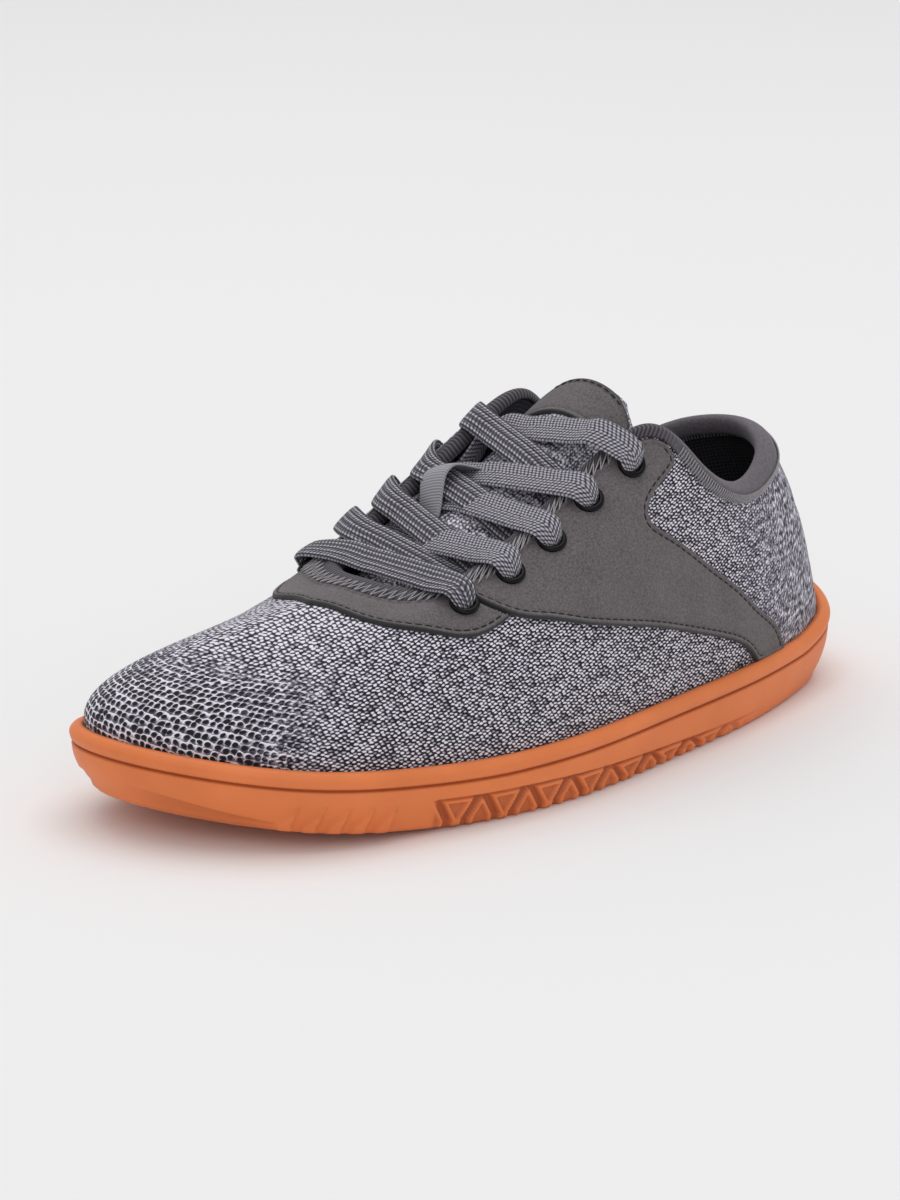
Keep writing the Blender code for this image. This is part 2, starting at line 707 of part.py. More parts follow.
def make_tongue_facing(finish, parts):
    v = np.linspace(FACING_START, FACING_END, FACING_ROWS)[:, None]
    w = np.linspace(-FACING_HALF, FACING_HALF, TONGUE_COLUMNS)[None, :]
    outer = tongue_point(v, w, OVERLAY_GAP + FACING_THICKNESS)
    return add_slab("tongue_facing", outer, tongue_point(v, w, OVERLAY_GAP), finish, parts)


def make_lace_keeper(finish, parts):
    v = np.linspace(KEEPER_START, KEEPER_END, KEEPER_ROWS)[:, None]
    reach = 0.5 * KEEPER_WIDTH / (TONGUE[4].half * MM)
    w = np.linspace(-reach, reach, 3)[None, :]
    outer = tongue_point(v, w, OVERLAY_GAP + KEEPER_THICKNESS)
    return add_slab("lace_keeper", outer, tongue_point(v, w, OVERLAY_GAP), finish, parts)


def eyelet_frame(side, index):
    """Matrix of an eyelet: its origin on the overlay's face and its Z axis out of it."""
    row = EYELETS[index]
    s = RING_ROWS - row.s if side == "medial" else row.s
    s, t = square_from_edge(s, row.distance * MM)
    along_ring, up_rib = upper_slopes(s, t)
    axis = unit(np.cross(up_rib, along_ring))
    across = unit(np.cross(up_rib, axis))
    origin = skin(s, t, OVERLAY_GAP + OVERLAY_THICKNESS + GAP)
    frame = Matrix.Identity(4)
    for row in range(3):
        frame[row][0] = across[row]
        frame[row][1] = np.cross(axis, across)[row]
        frame[row][2] = axis[row]
        frame[row][3] = origin[row]
    return frame


def make_eyelet(name, frame, finish, parts):
    """A rolled ring with a barrel, turned from its profile."""
    deep = -(2.0 * OVERLAY_GAP + OVERLAY_THICKNESS + UPPER_WALL)
    profile = (
        (EYELET_HOLE, EYELET_CROWN - EYELET_INNER_DROP),
        (0.5 * (EYELET_HOLE + EYELET_RADIUS), EYELET_CROWN),
        (EYELET_RADIUS - EYELET_EDGE, 0.5 * EYELET_CROWN),
        (EYELET_RADIUS, 0.0),
        (EYELET_BARREL, 0.0),
        (EYELET_BARREL, deep),
        (EYELET_HOLE, deep),
    )
    count = len(profile)
    mesh = bpy.data.meshes.new(name)
    edges = [(index, (index + 1) % count) for index in range(count)]
    mesh.from_pydata([(radius, 0.0, height) for radius, height in profile], edges, [])
    mesh.materials.append(finish)
    eyelet = bpy.data.objects.new(name, mesh)
    eyelet.matrix_world = frame
    turn = eyelet.modifiers.new("turn", "SCREW")
    turn.angle = 2.0 * pi
    turn.axis = "Z"
    turn.steps = EYELET_STEPS
    turn.render_steps = EYELET_STEPS
    turn.use_merge_vertices = True
    turn.merge_threshold = MERGE_DISTANCE
    parts.objects.link(eyelet)
    return eyelet


def cut_eyelet_hole(frame, name, targets, cutters):
    """A round hole for an eyelet's barrel, through the overlay and the upper."""
    mesh = bpy.data.meshes.new(name)
    work = bmesh.new()
    bmesh.ops.create_cone(work, cap_ends=True, segments=EYELET_STEPS, radius1=EYELET_BARREL + GAP,
                          radius2=EYELET_BARREL + GAP, depth=HOLE_CUT_DEPTH)
    work.to_mesh(mesh)
    work.free()
    cutter = bpy.data.objects.new(name, mesh)
    cutter.matrix_world = frame
    cutters.objects.link(cutter)
    for target in targets:
        cut = target.modifiers.new(name, "BOOLEAN")
        cut.operation = "DIFFERENCE"
        cut.solver = "EXACT"
        cut.object = cutter


def over_edge(side, s):
    """Two lace spots over the binding, inside and outside the edge of the throat that it bends over."""
    s = np.array(RING_ROWS - s if side == "medial" else s)
    along_ring, up_rib = upper_slopes(s, np.array(1.0))
    out = unit(np.cross(up_rib, along_ring))
    across_edge = unit(np.cross(along_ring, np.cross(up_rib, along_ring)))
    share = 0.5 + 0.5 * LACE_NARROW
    lift = rib_at(s).roll + LACE_BEND + LACE_LIFT
    edge = upper_point(s, np.array(1.0))
    up = unit(out + across_edge)
    return [LaceSpot(edge - out * UPPER_WALL + across_edge * lift, unit(out + 2.0 * across_edge), share),
            LaceSpot(edge + up * lift, up, share)]


def over_eyelet(side, index, toward):
    """Two lace spots: over an eyelet's rim on the way to a point, and over its middle."""
    frame = eyelet_frame(side, index)
    axis = np.array(frame.col[2][:3])
    centre = np.array(frame.translation) + axis * (EYELET_CROWN + LACE_LIFT)
    way = toward - centre
    way = unit(way - axis * np.dot(way, axis))
    return [LaceSpot(centre + way * EYELET_RADIUS, axis, LACE_NARROW), LaceSpot(centre, axis, LACE_NARROW)]


def over_tongue(point, w, lift):
    """Lace spot over the tongue beside a point."""
    v = np.linspace(0.0, 1.0, 201)
    line = tongue_point(v, np.full_like(v, w), np.zeros_like(v))
    v = v[np.argmin(np.linalg.norm(line - point, axis=1))]
    spot = tongue_point(v, w, lift)
    return LaceSpot(spot, unit(spot - tongue_point(v, w, 0.0)), 1.0)


def add_strap(name, spots, finish, parts):
    """A flat lace from spot to spot, with a rounded section."""
    path = np.array([spot.point for spot in spots])
    upward = np.array([spot.up for spot in spots])
    half = np.array([[0.5 * LACE_WIDTH * spot.share] for spot in spots])
    thick = 0.5 * LACE_THICKNESS
    forward = unit(np.gradient(path, axis=0))
    width = unit(np.cross(forward, upward)) * half
    up = unit(np.cross(width, forward)) * thick
    corners = ((-1.0, 0.0), (-0.75, 1.0), (0.75, 1.0), (1.0, 0.0), (0.75, -1.0), (-0.75, -1.0))
    sections = np.stack([path + width * a + up * b for a, b in corners], axis=1)
    rows, points = sections.shape[:2]
    faces = section_faces(rows, points, ring=False)
    faces.append(tuple(range(points)))
    faces.append(tuple((rows - 1) * points + point for point in range(points)))
    return add_piece(name, sections, faces, finish, parts)


def lace_spots(side, index, layer):
    """Spots of a strap that comes up beside the far edge, crosses the tongue and ends at an eyelet."""
    far = "medial" if side == "lateral" else "lateral"
    sign = 1.0 if side == "lateral" else -1.0
    near_edge = over_edge(side, EYELETS[index].s + LACE_LEAN)
    far_step = LACE_FIRST_STEP if index == 1 else LACE_STEP
    far_edge = over_edge(far, EYELETS[index].s + far_step)[0].point
    lift = OVERLAY_GAP + KEEPER_THICKNESS + LACE_LIFT + layer * LACE_THICKNESS
    spots = []
    for w in LACE_ACROSS:
        beside = far_edge + (near_edge[0].point - far_edge) * (0.5 + 0.5 * w)
        spots.append(over_tongue(beside, w * sign, lift))
    return spots + near_edge + over_eyelet(side, index, near_edge[1].point)


def make_lace(finish, parts, cutters):
    inner_edge = over_edge("medial", EYELETS[0].s)
    outer_edge = over_edge("lateral", EYELETS[0].s)
    middle = 0.5 * (inner_edge[0].point + outer_edge[0].point)
    spots = over_eyelet("medial", 0, inner_edge[1].point)[::-1] + inner_edge[::-1]
    spots += [over_tongue(middle, w, 2.0 * LACE_LIFT) for w in (-0.2, 0.2)]
    spots += outer_edge + over_eyelet("lateral", 0, outer_edge[1].point)
    add_strap("lace_bar", spots, finish, parts)
    for index in range(1, len(EYELETS)):
        crossing = add_strap(f"lace_crossing_{index + 1}", lace_spots("lateral", index, 0), finish, parts)
        upper_strap = add_strap(f"lace_over_{index + 1}", lace_spots("medial", index, 1), finish, cutters)
        join = crossing.modifiers.new("crossing", "BOOLEAN")
        join.operation = "UNION"
        join.solver = "EXACT"
        join.object = upper_strap


def main():
    for item in list(bpy.data.objects):
        bpy.data.objects.remove(item, do_unlink=True)
    parts = bpy.data.collections.new("knit_sneaker")
    cutters = bpy.data.collections.new("cutters")
    bpy.context.scene.collection.children.link(parts)
    bpy.context.scene.collection.children.link(cutters)

    gum = material("gum_rubber", (0.58, 0.22, 0.07), 0.55)
    knit = material("grey_knit", (0.22, 0.23, 0.26), 0.90)
    nubuck = material("grey_nubuck", (0.10, 0.10, 0.09), 0.85)
    tape = material("ribbed_elastic", (0.12, 0.12, 0.14), 0.85)
    lining = material("dark_sock_lining", (0.02, 0.02, 0.025), 0.90)
    webbing = material("light_webbing", (0.25, 0.26, 0.28), 0.80)
    lacing = material("flat_lace", (0.11, 0.11, 0.13), 0.85)
    enamel = material("black_enamel", (0.01, 0.01, 0.01), 0.25)

    make_outsole(gum, parts, cutters)
    make_insole(lining, parts)
    upper = make_upper(knit, parts)
    saddles = {
        "lateral": make_saddle("saddle_lateral", False, nubuck, parts),
        "medial": make_saddle("saddle_medial", True, nubuck, parts),
    }
    vamp_stay = make_vamp_stay(nubuck, parts)
    make_binding(tape, parts)
    make_tongue(knit, parts)
    make_tongue_facing(nubuck, parts)
    make_lace_keeper(webbing, parts)
    for side in ("lateral", "medial"):
        for index in range(len(EYELETS)):
            frame = eyelet_frame(side, index)
            make_eyelet(f"eyelet_{side}_{index + 1}", frame, enamel, parts)
            carrier = vamp_stay if index == 0 else saddles[side]
            cut_eyelet_hole(frame, f"eyelet_hole_{side}_{index + 1}", (carrier, upper), cutters)
    make_lace(lacing, parts, cutters)
    for cutter in cutters.objects:
        cutter.hide_render = True
        cutter.display_type = "WIRE"


main()
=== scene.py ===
"""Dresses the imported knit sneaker: knit, nubuck, tape, laces, stitches and gum sole, on a studio floor.

Units are metres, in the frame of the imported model: +Z is up, the heel is toward +Y and the outer side
of the foot toward +X. Ring position s counts ribs from the heel along the outer side to the toe and
back along the inner side. Rib position t is -1 in the cup, 0 at the sole's lip and 1 at the edge of
collar and throat.
"""

from collections import namedtuple
from math import pi

import bmesh
import bpy
import numpy as np
from mathutils import Matrix, Vector


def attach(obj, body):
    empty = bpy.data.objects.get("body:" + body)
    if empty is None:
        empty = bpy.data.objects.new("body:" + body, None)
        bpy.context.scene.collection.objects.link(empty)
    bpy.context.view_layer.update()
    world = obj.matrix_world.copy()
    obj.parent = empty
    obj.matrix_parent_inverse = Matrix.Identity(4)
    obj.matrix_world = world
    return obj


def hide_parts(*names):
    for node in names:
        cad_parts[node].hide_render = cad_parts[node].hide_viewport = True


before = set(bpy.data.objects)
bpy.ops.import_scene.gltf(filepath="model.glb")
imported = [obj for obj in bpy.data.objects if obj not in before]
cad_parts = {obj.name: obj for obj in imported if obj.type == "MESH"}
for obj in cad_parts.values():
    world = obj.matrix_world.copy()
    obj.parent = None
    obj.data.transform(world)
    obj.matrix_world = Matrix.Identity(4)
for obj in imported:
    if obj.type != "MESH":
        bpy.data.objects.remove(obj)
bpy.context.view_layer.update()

bl_info = {
    "name": "Knit sneaker dressing",
    "version": (1, 0, 0),
    "blender": (4, 5, 0),
    "location": "View3D > Sidebar > Sneaker",
    "description": "Dresses a knit sneaker with knit, nubuck, tape, laces, stitches and a gum sole",
    "category": "Object",
}

MM = 0.001
CHART = "chart"

# The last and the sole, as they were cut
SHOE_LENGTH = 0.282
BALL_WIDTH = 0.100
INSTEP_HEIGHT = 0.100
UPPER_WALL = 0.0020
UPPER_COLUMNS = 480
INSOLE_THICKNESS = 0.003
GAP = 0.0003
CUP_FLOOR = 0.009
TOE_SPRING = 0.0115
SPRING_START = 0.64
SPRING_POWER = 1.7
HEEL_LIP = 0.009
HEEL_LIP_START = 0.14
LIP_POWER = 1.5
LIP_SLOPE = 0.0004
ARCH_LIFT = 0.0020
ARCH_START = (0.27, 0.42)
ARCH_END = (0.46, 0.60)
ARCH_SIDES = (0.2, -0.4)

# The sole's wall and its tread
SOLE_COLUMNS = 1200
WALL_ROWS = 30
WALL_BACK = 0.0006
EDGE_ROUND = 0.0024
BEAD_HEIGHT = 0.020
BEAD_OUT = 0.0045
BEAD_DEPTH = 0.0055
BEAD_ROWS = 14
GROOVE_DEPTH = 0.0012
GROOVE_HALF = 0.0006
TOE_STEP = 0.9 * MM
TREAD_STRIPS = 40
TREAD_PITCH = 8.5 * MM
TREAD_LEAN = 0.45
TREAD_DEPTH = 1.3 * MM
TREAD_MARGIN = (3.0 * MM, 6.0 * MM)
CUP_STRIPS = 4

# Lugs and ripples of the wall, with their places and widths counted in ribs
RELIEF_SOFT = 0.3 * MM
RELIEF_REACH = 0.02
LUGS_PER_SIDE = 17
LUG_FIRST = 2.7
LUG_LAST = 7.0
LUG_REACH = 0.66
LUG_FADE = 0.12
LUG_TAPER = 0.4
LUG_FOOT = -0.2 * MM
LUG_TOP = 0.0092
LUG_RIM = 1.35 * MM
LUG_SINK = 2.0 * MM
LUG_HOLLOW = 1.3 * MM
RIPPLES_PER_SIDE = 5
RIPPLE_FIRST = 7.35
RIPPLE_STEP = 0.22
RIPPLE_WIDTH = 0.085
RIPPLE_LEAN = 0.12
RIPPLE_FOOT = 1.5 * MM
RIPPLE_TOP = 0.0100
RIPPLE_SWELL = 1.6 * MM

# Overlays with their raised rims and pressed-in seams, tape, tongue and lace keeper
OVERLAY_GAP = 0.00055
OVERLAY_THICKNESS = 0.0011
NUBUCK_BASE = 0.10 * MM
NUBUCK_THICK = OVERLAY_GAP + OVERLAY_THICKNESS - NUBUCK_BASE
VAMP_THINNER = 0.2 * MM
EDGE_SHARE = 0.12
RIM_INSET = 1.1 * MM
RIM_HALF = 0.8 * MM
SEAM_DEPTH = 0.35 * MM
SEAM_HALF = 0.55 * MM
SEAM_GAP = 0.0006
TAPE_GAP = 0.0005
TAPE_OUTER = 0.0015
TAPE_CLOSE = 0.1 * MM
COLLAR_TUCK = 0.42
COLLAR_INNER = 0.30
TONGUE_THICKNESS = 0.0030
FACING_BASE = 0.05 * MM
FACING_THICKNESS = 0.0009
FACING_START = 0.76
FACING_END = 0.99
FACING_HALF = 0.83
KEEPER_WIDTH = 0.0088
KEEPER_START = 0.39
KEEPER_END = 0.57
KEEPER_OFF = -0.36
KEEPER_ARCH = 9.5 * MM

# Eyelets and the holes cut for them
EYELET_RING = 3.75 * MM
EYELET_ROLL = 0.95 * MM
EYELET_TUBE = 2.75 * MM
EYELET_WALL = 0.4 * MM
EYELET_LENGTH = 4.6 * MM
EYELET_CROWN = 0.0013
HOLE_RADIUS = 0.0030 + GAP
HOLE_DEPTH = 14.0 * MM
HOLE_SIDES = 24

# Threads
STITCH_INSET = 1.9 * MM
STITCH_PITCH = 2.9 * MM
STITCH_LENGTH = 2.3 * MM
STITCH_RADIUS = 0.34 * MM
ZIGZAG_PITCH = 3.1 * MM
ZIGZAG_RADIUS = 0.21 * MM
ZIGZAG_DROP = 2.0 * MM
OVERLOCK_RADIUS = 0.26 * MM
LINING_RADIUS = 0.30 * MM

# Knit: loops per millimetre along the ring and up the rib, for the toe's two rows of holes
TOE_LATTICE = ((0.438, 0.086), (-0.065, 0.477))
# Direction that the plane of the sides' knit faces, slope, bend and rise in millimetres of its wales, and
# courses per millimetre to the right and up
KNIT_FACING = (1.0, -1.0, 0.45)
WALE_SLOPE = 0.807
WALE_BEND = 0.00249
WALE_RISE = 1.25
COURSES_RIGHT = 0.385
COURSES_UP = 0.724
CREASE_SCALE = 1.5

# Bead above the groove, in millimetres back from its widest line and down from the lip
BEAD = ((0.9, 4.9), (0.4, 4.4), (0.0, 2.7), (0.35, 1.6), (1.0, 0.8), (1.7, 0.3), (2.6, 0.0))

# One row for each rib, as shares of the driving sizes, with tuck, tape and roll in millimetres
Rib = namedtuple("Rib", "along across top_along top_across top_up rise swell run drop tuck tape roll")
RING = (
    Rib(0.016, -0.004, 0.104, 0.000, 0.830, 0.20, -0.035, 0.56, 0.12, 6.5, 10.0, 3.0),
    Rib(0.051, 0.215, 0.124, 0.155, 0.810, 0.20, -0.035, 0.56, 0.12, 6.0, 10.0, 3.0),
    Rib(0.117, 0.315, 0.160, 0.245, 0.765, 0.22, 0.010, 0.48, 0.13, 5.0, 9.0, 2.8),
    Rib(0.241, 0.405, 0.227, 0.310, 0.738, 0.22, 0.030, 0.30, 0.15, 3.0, 6.5, 2.0),
    Rib(0.390, 0.460, 0.298, 0.320, 0.860, 0.24, 0.035, 0.30, 0.18, 1.5, 4.2, 1.3),
    Rib(0.528, 0.500, 0.362, 0.270, 1.000, 0.24, 0.035, 0.35, 0.20, 1.2, 2.8, 1.2),
    Rib(0.645, 0.480, 0.457, 0.210, 0.865, 0.22, 0.035, 0.40, 0.14, 1.8, 3.2, 1.2),
    Rib(0.759, 0.410, 0.553, 0.210, 0.725, 0.20, 0.030, 0.42, 0.09, 3.2, 3.8, 1.2),
    Rib(0.869, 0.295, 0.628, 0.175, 0.635, 0.18, 0.030, 0.45, 0.05, 5.0, 5.6, 1.2),
    Rib(0.949, 0.050, 0.668, 0.065, 0.620, 0.18, 0.030, 0.48, 0.05, 6.5, 6.6, 1.2),
    Rib(0.982, -0.220, 0.671, -0.060, 0.620, 0.19, 0.030, 0.46, 0.06, 7.0, 6.6, 1.2),
    Rib(0.954, -0.430, 0.664, -0.190, 0.616, 0.18, 0.025, 0.40, 0.11, 6.5, 6.6, 1.2),
    Rib(0.855, -0.500, 0.628, -0.290, 0.642, 0.17, 0.020, 0.34, 0.14, 4.0, 5.6, 1.2),
    Rib(0.730, -0.505, 0.553, -0.305, 0.745, 0.21, 0.020, 0.34, 0.14, 2.5, 3.8, 1.2),
    Rib(0.624, -0.470, 0.457, -0.285, 0.895, 0.24, 0.030, 0.38, 0.14, 2.5, 3.2, 1.2),
    Rib(0.518, -0.395, 0.362, -0.285, 1.008, 0.25, 0.040, 0.35, 0.20, 3.5, 2.8, 1.2),
    Rib(0.390, -0.320, 0.298, -0.310, 0.860, 0.24, 0.050, 0.30, 0.18, 3.5, 4.2, 1.3),
    Rib(0.241, -0.305, 0.227, -0.310, 0.738, 0.22, 0.050, 0.30, 0.15, 3.0, 6.5, 2.0),
    Rib(0.117, -0.315, 0.160, -0.245, 0.765, 0.22, 0.010, 0.48, 0.13, 5.0, 9.0, 2.8),
    Rib(0.050, -0.220, 0.124, -0.155, 0.810, 0.20, -0.035, 0.56, 0.12, 6.0, 10.0, 3.0),
)
RIB_SCALE = Rib(SHOE_LENGTH, BALL_WIDTH, SHOE_LENGTH, BALL_WIDTH, INSTEP_HEIGHT, INSTEP_HEIGHT,
                BALL_WIDTH, 1.0, INSTEP_HEIGHT, MM, MM, MM)
RING_ROWS = len(RING)
TOE_ROW = RING_ROWS // 2

# Edges of the saddle from the throat to the sole, and of the vamp stay from the saddle to the toe
SaddleRow = namedtuple("SaddleRow", "front_s front_t rear_s rear_t")
SADDLE = (
    SaddleRow(7.45, 0.935, 4.66, 0.965),
    SaddleRow(6.98, 0.770, 4.47, 0.915),
    SaddleRow(6.31, 0.585, 4.61, 0.815),
    SaddleRow(5.83, 0.490, 4.74, 0.735),
    SaddleRow(5.31, 0.405, 4.62, 0.665),
    SaddleRow(4.75, 0.350, 4.01, 0.615),
    SaddleRow(4.19, 0.305, 3.31, 0.460),
    SaddleRow(3.60, 0.225, 2.95, 0.290),
    SaddleRow(3.13, 0.110, 2.66, 0.150),
    SaddleRow(2.86, -0.060, 2.42, -0.060),
)
SADDLE_CORNER = 2.0 / 9.0
VampRow = namedtuple("VampRow", "low_s low_t high_s")
VAMP = (
    VampRow(6.37, 0.575, 7.51),
    VampRow(6.72, 0.530, 7.70),
    VampRow(7.15, 0.580, 7.95),
    VampRow(7.98, 0.720, 8.40),
    VampRow(9.10, 0.830, 9.15),
    VampRow(10.0, 0.835, 10.0),
)
VAMP_SEAM = 0.02
VAMP_BLEND = 0.3

# Ring position of each eyelet at the throat's edge, from the toe up, and its distance in millimetres
EyeletRow = namedtuple("EyeletRow", "s distance")
EYELETS = (
    EyeletRow(8.04, 13.0),
    EyeletRow(7.33, 9.0),
    EyeletRow(6.69, 9.4),
    EyeletRow(6.06, 8.9),
    EyeletRow(5.47, 8.2),
)

# Middle line, half width and sag of the tongue from under the vamp to its top, in millimetres
TongueRow = namedtuple("TongueRow", "along centre up half sag")
TONGUE = (
    TongueRow(200, -7.0, 50.0, 16, 4.0),
    TongueRow(187, -7.0, 55.0, 23.5, 7.5),
    TongueRow(172, -6.5, 63.0, 27.5, 12.0),
    TongueRow(156, -5.5, 72.4, 29, 14.5),
    TongueRow(140, -4.5, 81.4, 29, 16.5),
    TongueRow(124, -3.5, 90.6, 29, 17.5),
    TongueRow(110, -2.0, 99.3, 27.5, 16.0),
    TongueRow(101, -0.5, 105.8, 23.5, 12.0),
    TongueRow(97, 0.0, 109.2, 13, 4.0),
)

# Soft creases of the knit: middle as ring and rib position, half length and half width in
# millimetres, turn from the rib in degrees and depth in millimetres, negative for a trough
Crease = namedtuple("Crease", "s t half_length half_width turn depth")
CREASES = (
    Crease(7.35, 0.40, 17.0, 3.2, 24.0, -0.55),
    Crease(7.62, 0.38, 15.0, 3.4, 22.0, 0.35),
    Crease(7.92, 0.46, 16.0, 3.0, 20.0, -0.45),
    Crease(12.75, 0.42, 17.0, 3.2, -24.0, -0.55),
    Crease(12.40, 0.44, 15.0, 3.2, -22.0, 0.30),
    Crease(12.05, 0.50, 16.0, 3.0, -20.0, -0.40),
    Crease(3.05, 0.62, 13.0, 3.0, 55.0, -0.55),
    Crease(2.55, 0.50, 14.0, 3.4, 60.0, 0.40),
    Crease(2.10, 0.42, 15.0, 3.2, 62.0, -0.40),
    Crease(16.95, 0.62, 13.0, 3.0, -55.0, -0.55),
    Crease(17.60, 0.48, 14.0, 3.4, -60.0, 0.35),
    Crease(0.00, 0.56, 24.0, 3.2, 90.0, -0.45),
)

# Lace: its room over the tongue, the layers that a strap starts and ends in, and its way under a flap
LACE_CLEAR = 0.3 * MM
LACE_LAYERS = (0.0, 0.9)
LACE_TUCK = 2.6 * MM
LACE_FOOT = 6.4 * MM
LACE_DIP = 0.8 * MM
LACE_SECTIONS = 120
LACE_SIDES = 20
# Powers that square the lace's section across and puff it up
LACE_FLAT = 0.8
LACE_PUFF = 0.75
# Ring positions, counted on the outer side, where each crossing strap goes under the far flap's edge
LACE_UNDER = {"lateral": (7.25, 6.60, 6.30, 5.60), "medial": (7.70, 7.45, 6.75, 6.05)}
# Ring positions where the straps bend over the inner flap's edge, and the straps' slack in millimetres
LACE_BENDS = (8.19, 7.58, 6.99, 6.44, 5.71)
LACE_SLACK = {"lateral": (-0.6, -0.6, -0.6, -0.6, 4.2), "medial": (0.6, 0.8, 0.8, 0.8, 0.8)}
# A place of a lace's middle line, the direction out of its face, and its shares of full width and thickness
LaceSpot = namedtuple("LaceSpot", "point up share puff")
# A strap's way over an eyelet's rim and down its hole: whether it rides on the rim, millimetres back along
# the strap and out of the eyelet, its face as parts out of the eyelet and on past it, and shares of full
# width and thickness
RimSpot = namedtuple("RimSpot", "over_rim back out face_out face_on share puff")
RIM_SPOTS = (
    RimSpot(True, 4.8, 0.4, 1.0, 0.0, 1.0, 1.0),
    RimSpot(True, 1.2, 0.1, 1.0, 0.3, 0.88, 1.1),
    RimSpot(False, -1.1, -0.6, 1.0, 1.2, 0.62, 1.2),
    RimSpot(False, -1.3, -5.0, 0.0, 1.0, 0.42, 1.2),
)


def hex_colour(text):
    """Linear red, green and blue of an sRGB hex value."""
    parts = [int(text[index:index + 2], 16) / 255.0 for index in (1, 3, 5)]
    return tuple(part / 12.92 if part <= 0.04045 else ((part + 0.055) / 1.055)**2.4 for part in parts)


def spline_slopes(values, closed):
    """Slopes of a cubic spline through rows of values, one unit apart."""
    count = len(values)
    system = np.diag(np.full(count, 4.0))
    system += np.diag(np.ones(count - 1), 1) + np.diag(np.ones(count - 1), -1)
    change = 3.0 * (np.roll(values, -1, axis=0) - np.roll(values, 1, axis=0))
    if closed:
        system[0, -1] = system[-1, 0] = 1.0
    else:
        system[0, 0] = system[-1, -1] = 2.0
        change[0] = 3.0 * (values[1] - values[0])
        change[-1] = 3.0 * (values[-1] - values[-2])
    return np.linalg.solve(system, change)


def spline(values, slopes, s, closed):
    """Values of the spline at positions s."""
    count = len(values)
    s = np.asarray(s, dtype=float)
    if closed:
        s = s % count
        low = np.floor(s).astype(int) % count
        high = (low + 1) % count
    else:
        low = np.clip(np.floor(s).astype(int), 0, count - 2)
        high = low + 1
    u = (s - low)[..., None]
    return ((2 * u**3 - 3 * u**2 + 1) * values[low] + (u**3 - 2 * u**2 + u) * slopes[low]
            + (3 * u**2 - 2 * u**3) * values[high] + (u**3 - u**2) * slopes[high])


RING_VALUES = np.array(RING) * np.array(RIB_SCALE)
RING_SLOPES = spline_slopes(RING_VALUES, closed=True)


def table_at(rows, share):
    """Rows of a table read at a share from 0 to 1 of its length, with its columns last."""
    values = np.array(rows, dtype=float)
    at = np.asarray(share) * (len(rows) - 1)
    return spline(values, spline_slopes(values, closed=False), at, closed=False)


def rib_at(s):
    return Rib(*np.moveaxis(spline(RING_VALUES, RING_SLOPES, s, closed=True), -1, 0))


def smooth_step(low, high, value):
    u = np.clip((value - low) / (high - low), 0.0, 1.0)
    return u * u * (3.0 - 2.0 * u)


def place(along, across, up):
    """World points from a distance along the shoe from its heel, across it and up."""
    return np.stack(np.broadcast_arrays(across, SHOE_LENGTH / 2.0 - along, up), axis=-1)


def unit(vectors):
    return vectors / np.linalg.norm(vectors, axis=-1, keepdims=True)


def toe_spring(along):
    share = np.clip((along / SHOE_LENGTH - SPRING_START) / (1.0 - SPRING_START), 0.0, 1.0)
    return TOE_SPRING * share**SPRING_POWER


def lip_height(along):
    """Top of the sole's bead: it follows the toe spring and rises behind the heel."""
    share = np.clip(1.0 - along / SHOE_LENGTH / HEEL_LIP_START, 0.0, 1.0)
    return BEAD_HEIGHT + toe_spring(along) + HEEL_LIP * share**LIP_POWER


def ground_height(along, across):
    """Underside of the sole: flat at heel and ball, with a low arch that is higher inside."""
    share = along / SHOE_LENGTH
    window = smooth_step(*ARCH_START, share) * (1.0 - smooth_step(*ARCH_END, share))
    inner = smooth_step(*ARCH_SIDES, across / BALL_WIDTH)
    return toe_spring(along) + ARCH_LIFT * window * inner


def outline(s, out):
    """Along and across of the upper's foot line, moved out."""
    step = 0.001
    rib = rib_at(s)
    ahead = rib_at(s + step)
    behind = rib_at(s - step)
    normal = unit(np.stack([behind.across - ahead.across, ahead.along - behind.along], axis=-1))
    return rib.along + normal[..., 0] * out, rib.across + normal[..., 1] * out


def upper_point(s, t):
    """Outer face of the upper."""
    s, t = np.broadcast_arrays(np.asarray(s, dtype=float), np.asarray(t, dtype=float))
    rib = rib_at(s)
    swell_along, swell_across = outline(s, rib.swell)
    lip = lip_height(rib.along)
    foot = CUP_FLOOR + toe_spring(rib.along) + GAP
    start = np.stack([rib.along, rib.across, lip], axis=-1)
    leave = np.stack([swell_along, swell_across, lip + rib.rise], axis=-1)
    end = np.stack([rib.top_along, rib.top_across, rib.top_up], axis=-1)
    arrive = end + (start - end) * rib.run[..., None]
    arrive[..., 2] = rib.top_up - rib.drop
    u = np.clip(t, 0.0, 1.0)[..., None]
    point = ((1 - u)**3 * start + 3 * u * (1 - u)**2 * leave + 3 * u**2 * (1 - u) * arrive + u**3 * end)
    point[..., 2] += np.minimum(t, 0.0) * (lip - foot)
    return place(point[..., 0], point[..., 1], point[..., 2])


def upper_slopes(s, t):
    """Steps of the outer face along the ring and up the rib."""
    step = 0.002
    low = np.clip(t - step, -1.0, 1.0)
    high = np.clip(t + step, -1.0, 1.0)
    along_ring = (upper_point(s + step, t) - upper_point(s - step, t)) / (2.0 * step)
    up_rib = (upper_point(s, high) - upper_point(s, low)) / (high - low)[..., None]
    return along_ring, up_rib


def skin(s, t, depth):
    """Point at a depth outside the upper's outer face, or inside it where depth is negative."""
    s, t, depth = np.broadcast_arrays(*(np.asarray(value, dtype=float) for value in (s, t, depth)))
    along_ring, up_rib = upper_slopes(s, t)
    return upper_point(s, t) + unit(np.cross(up_rib, along_ring)) * depth[..., None]


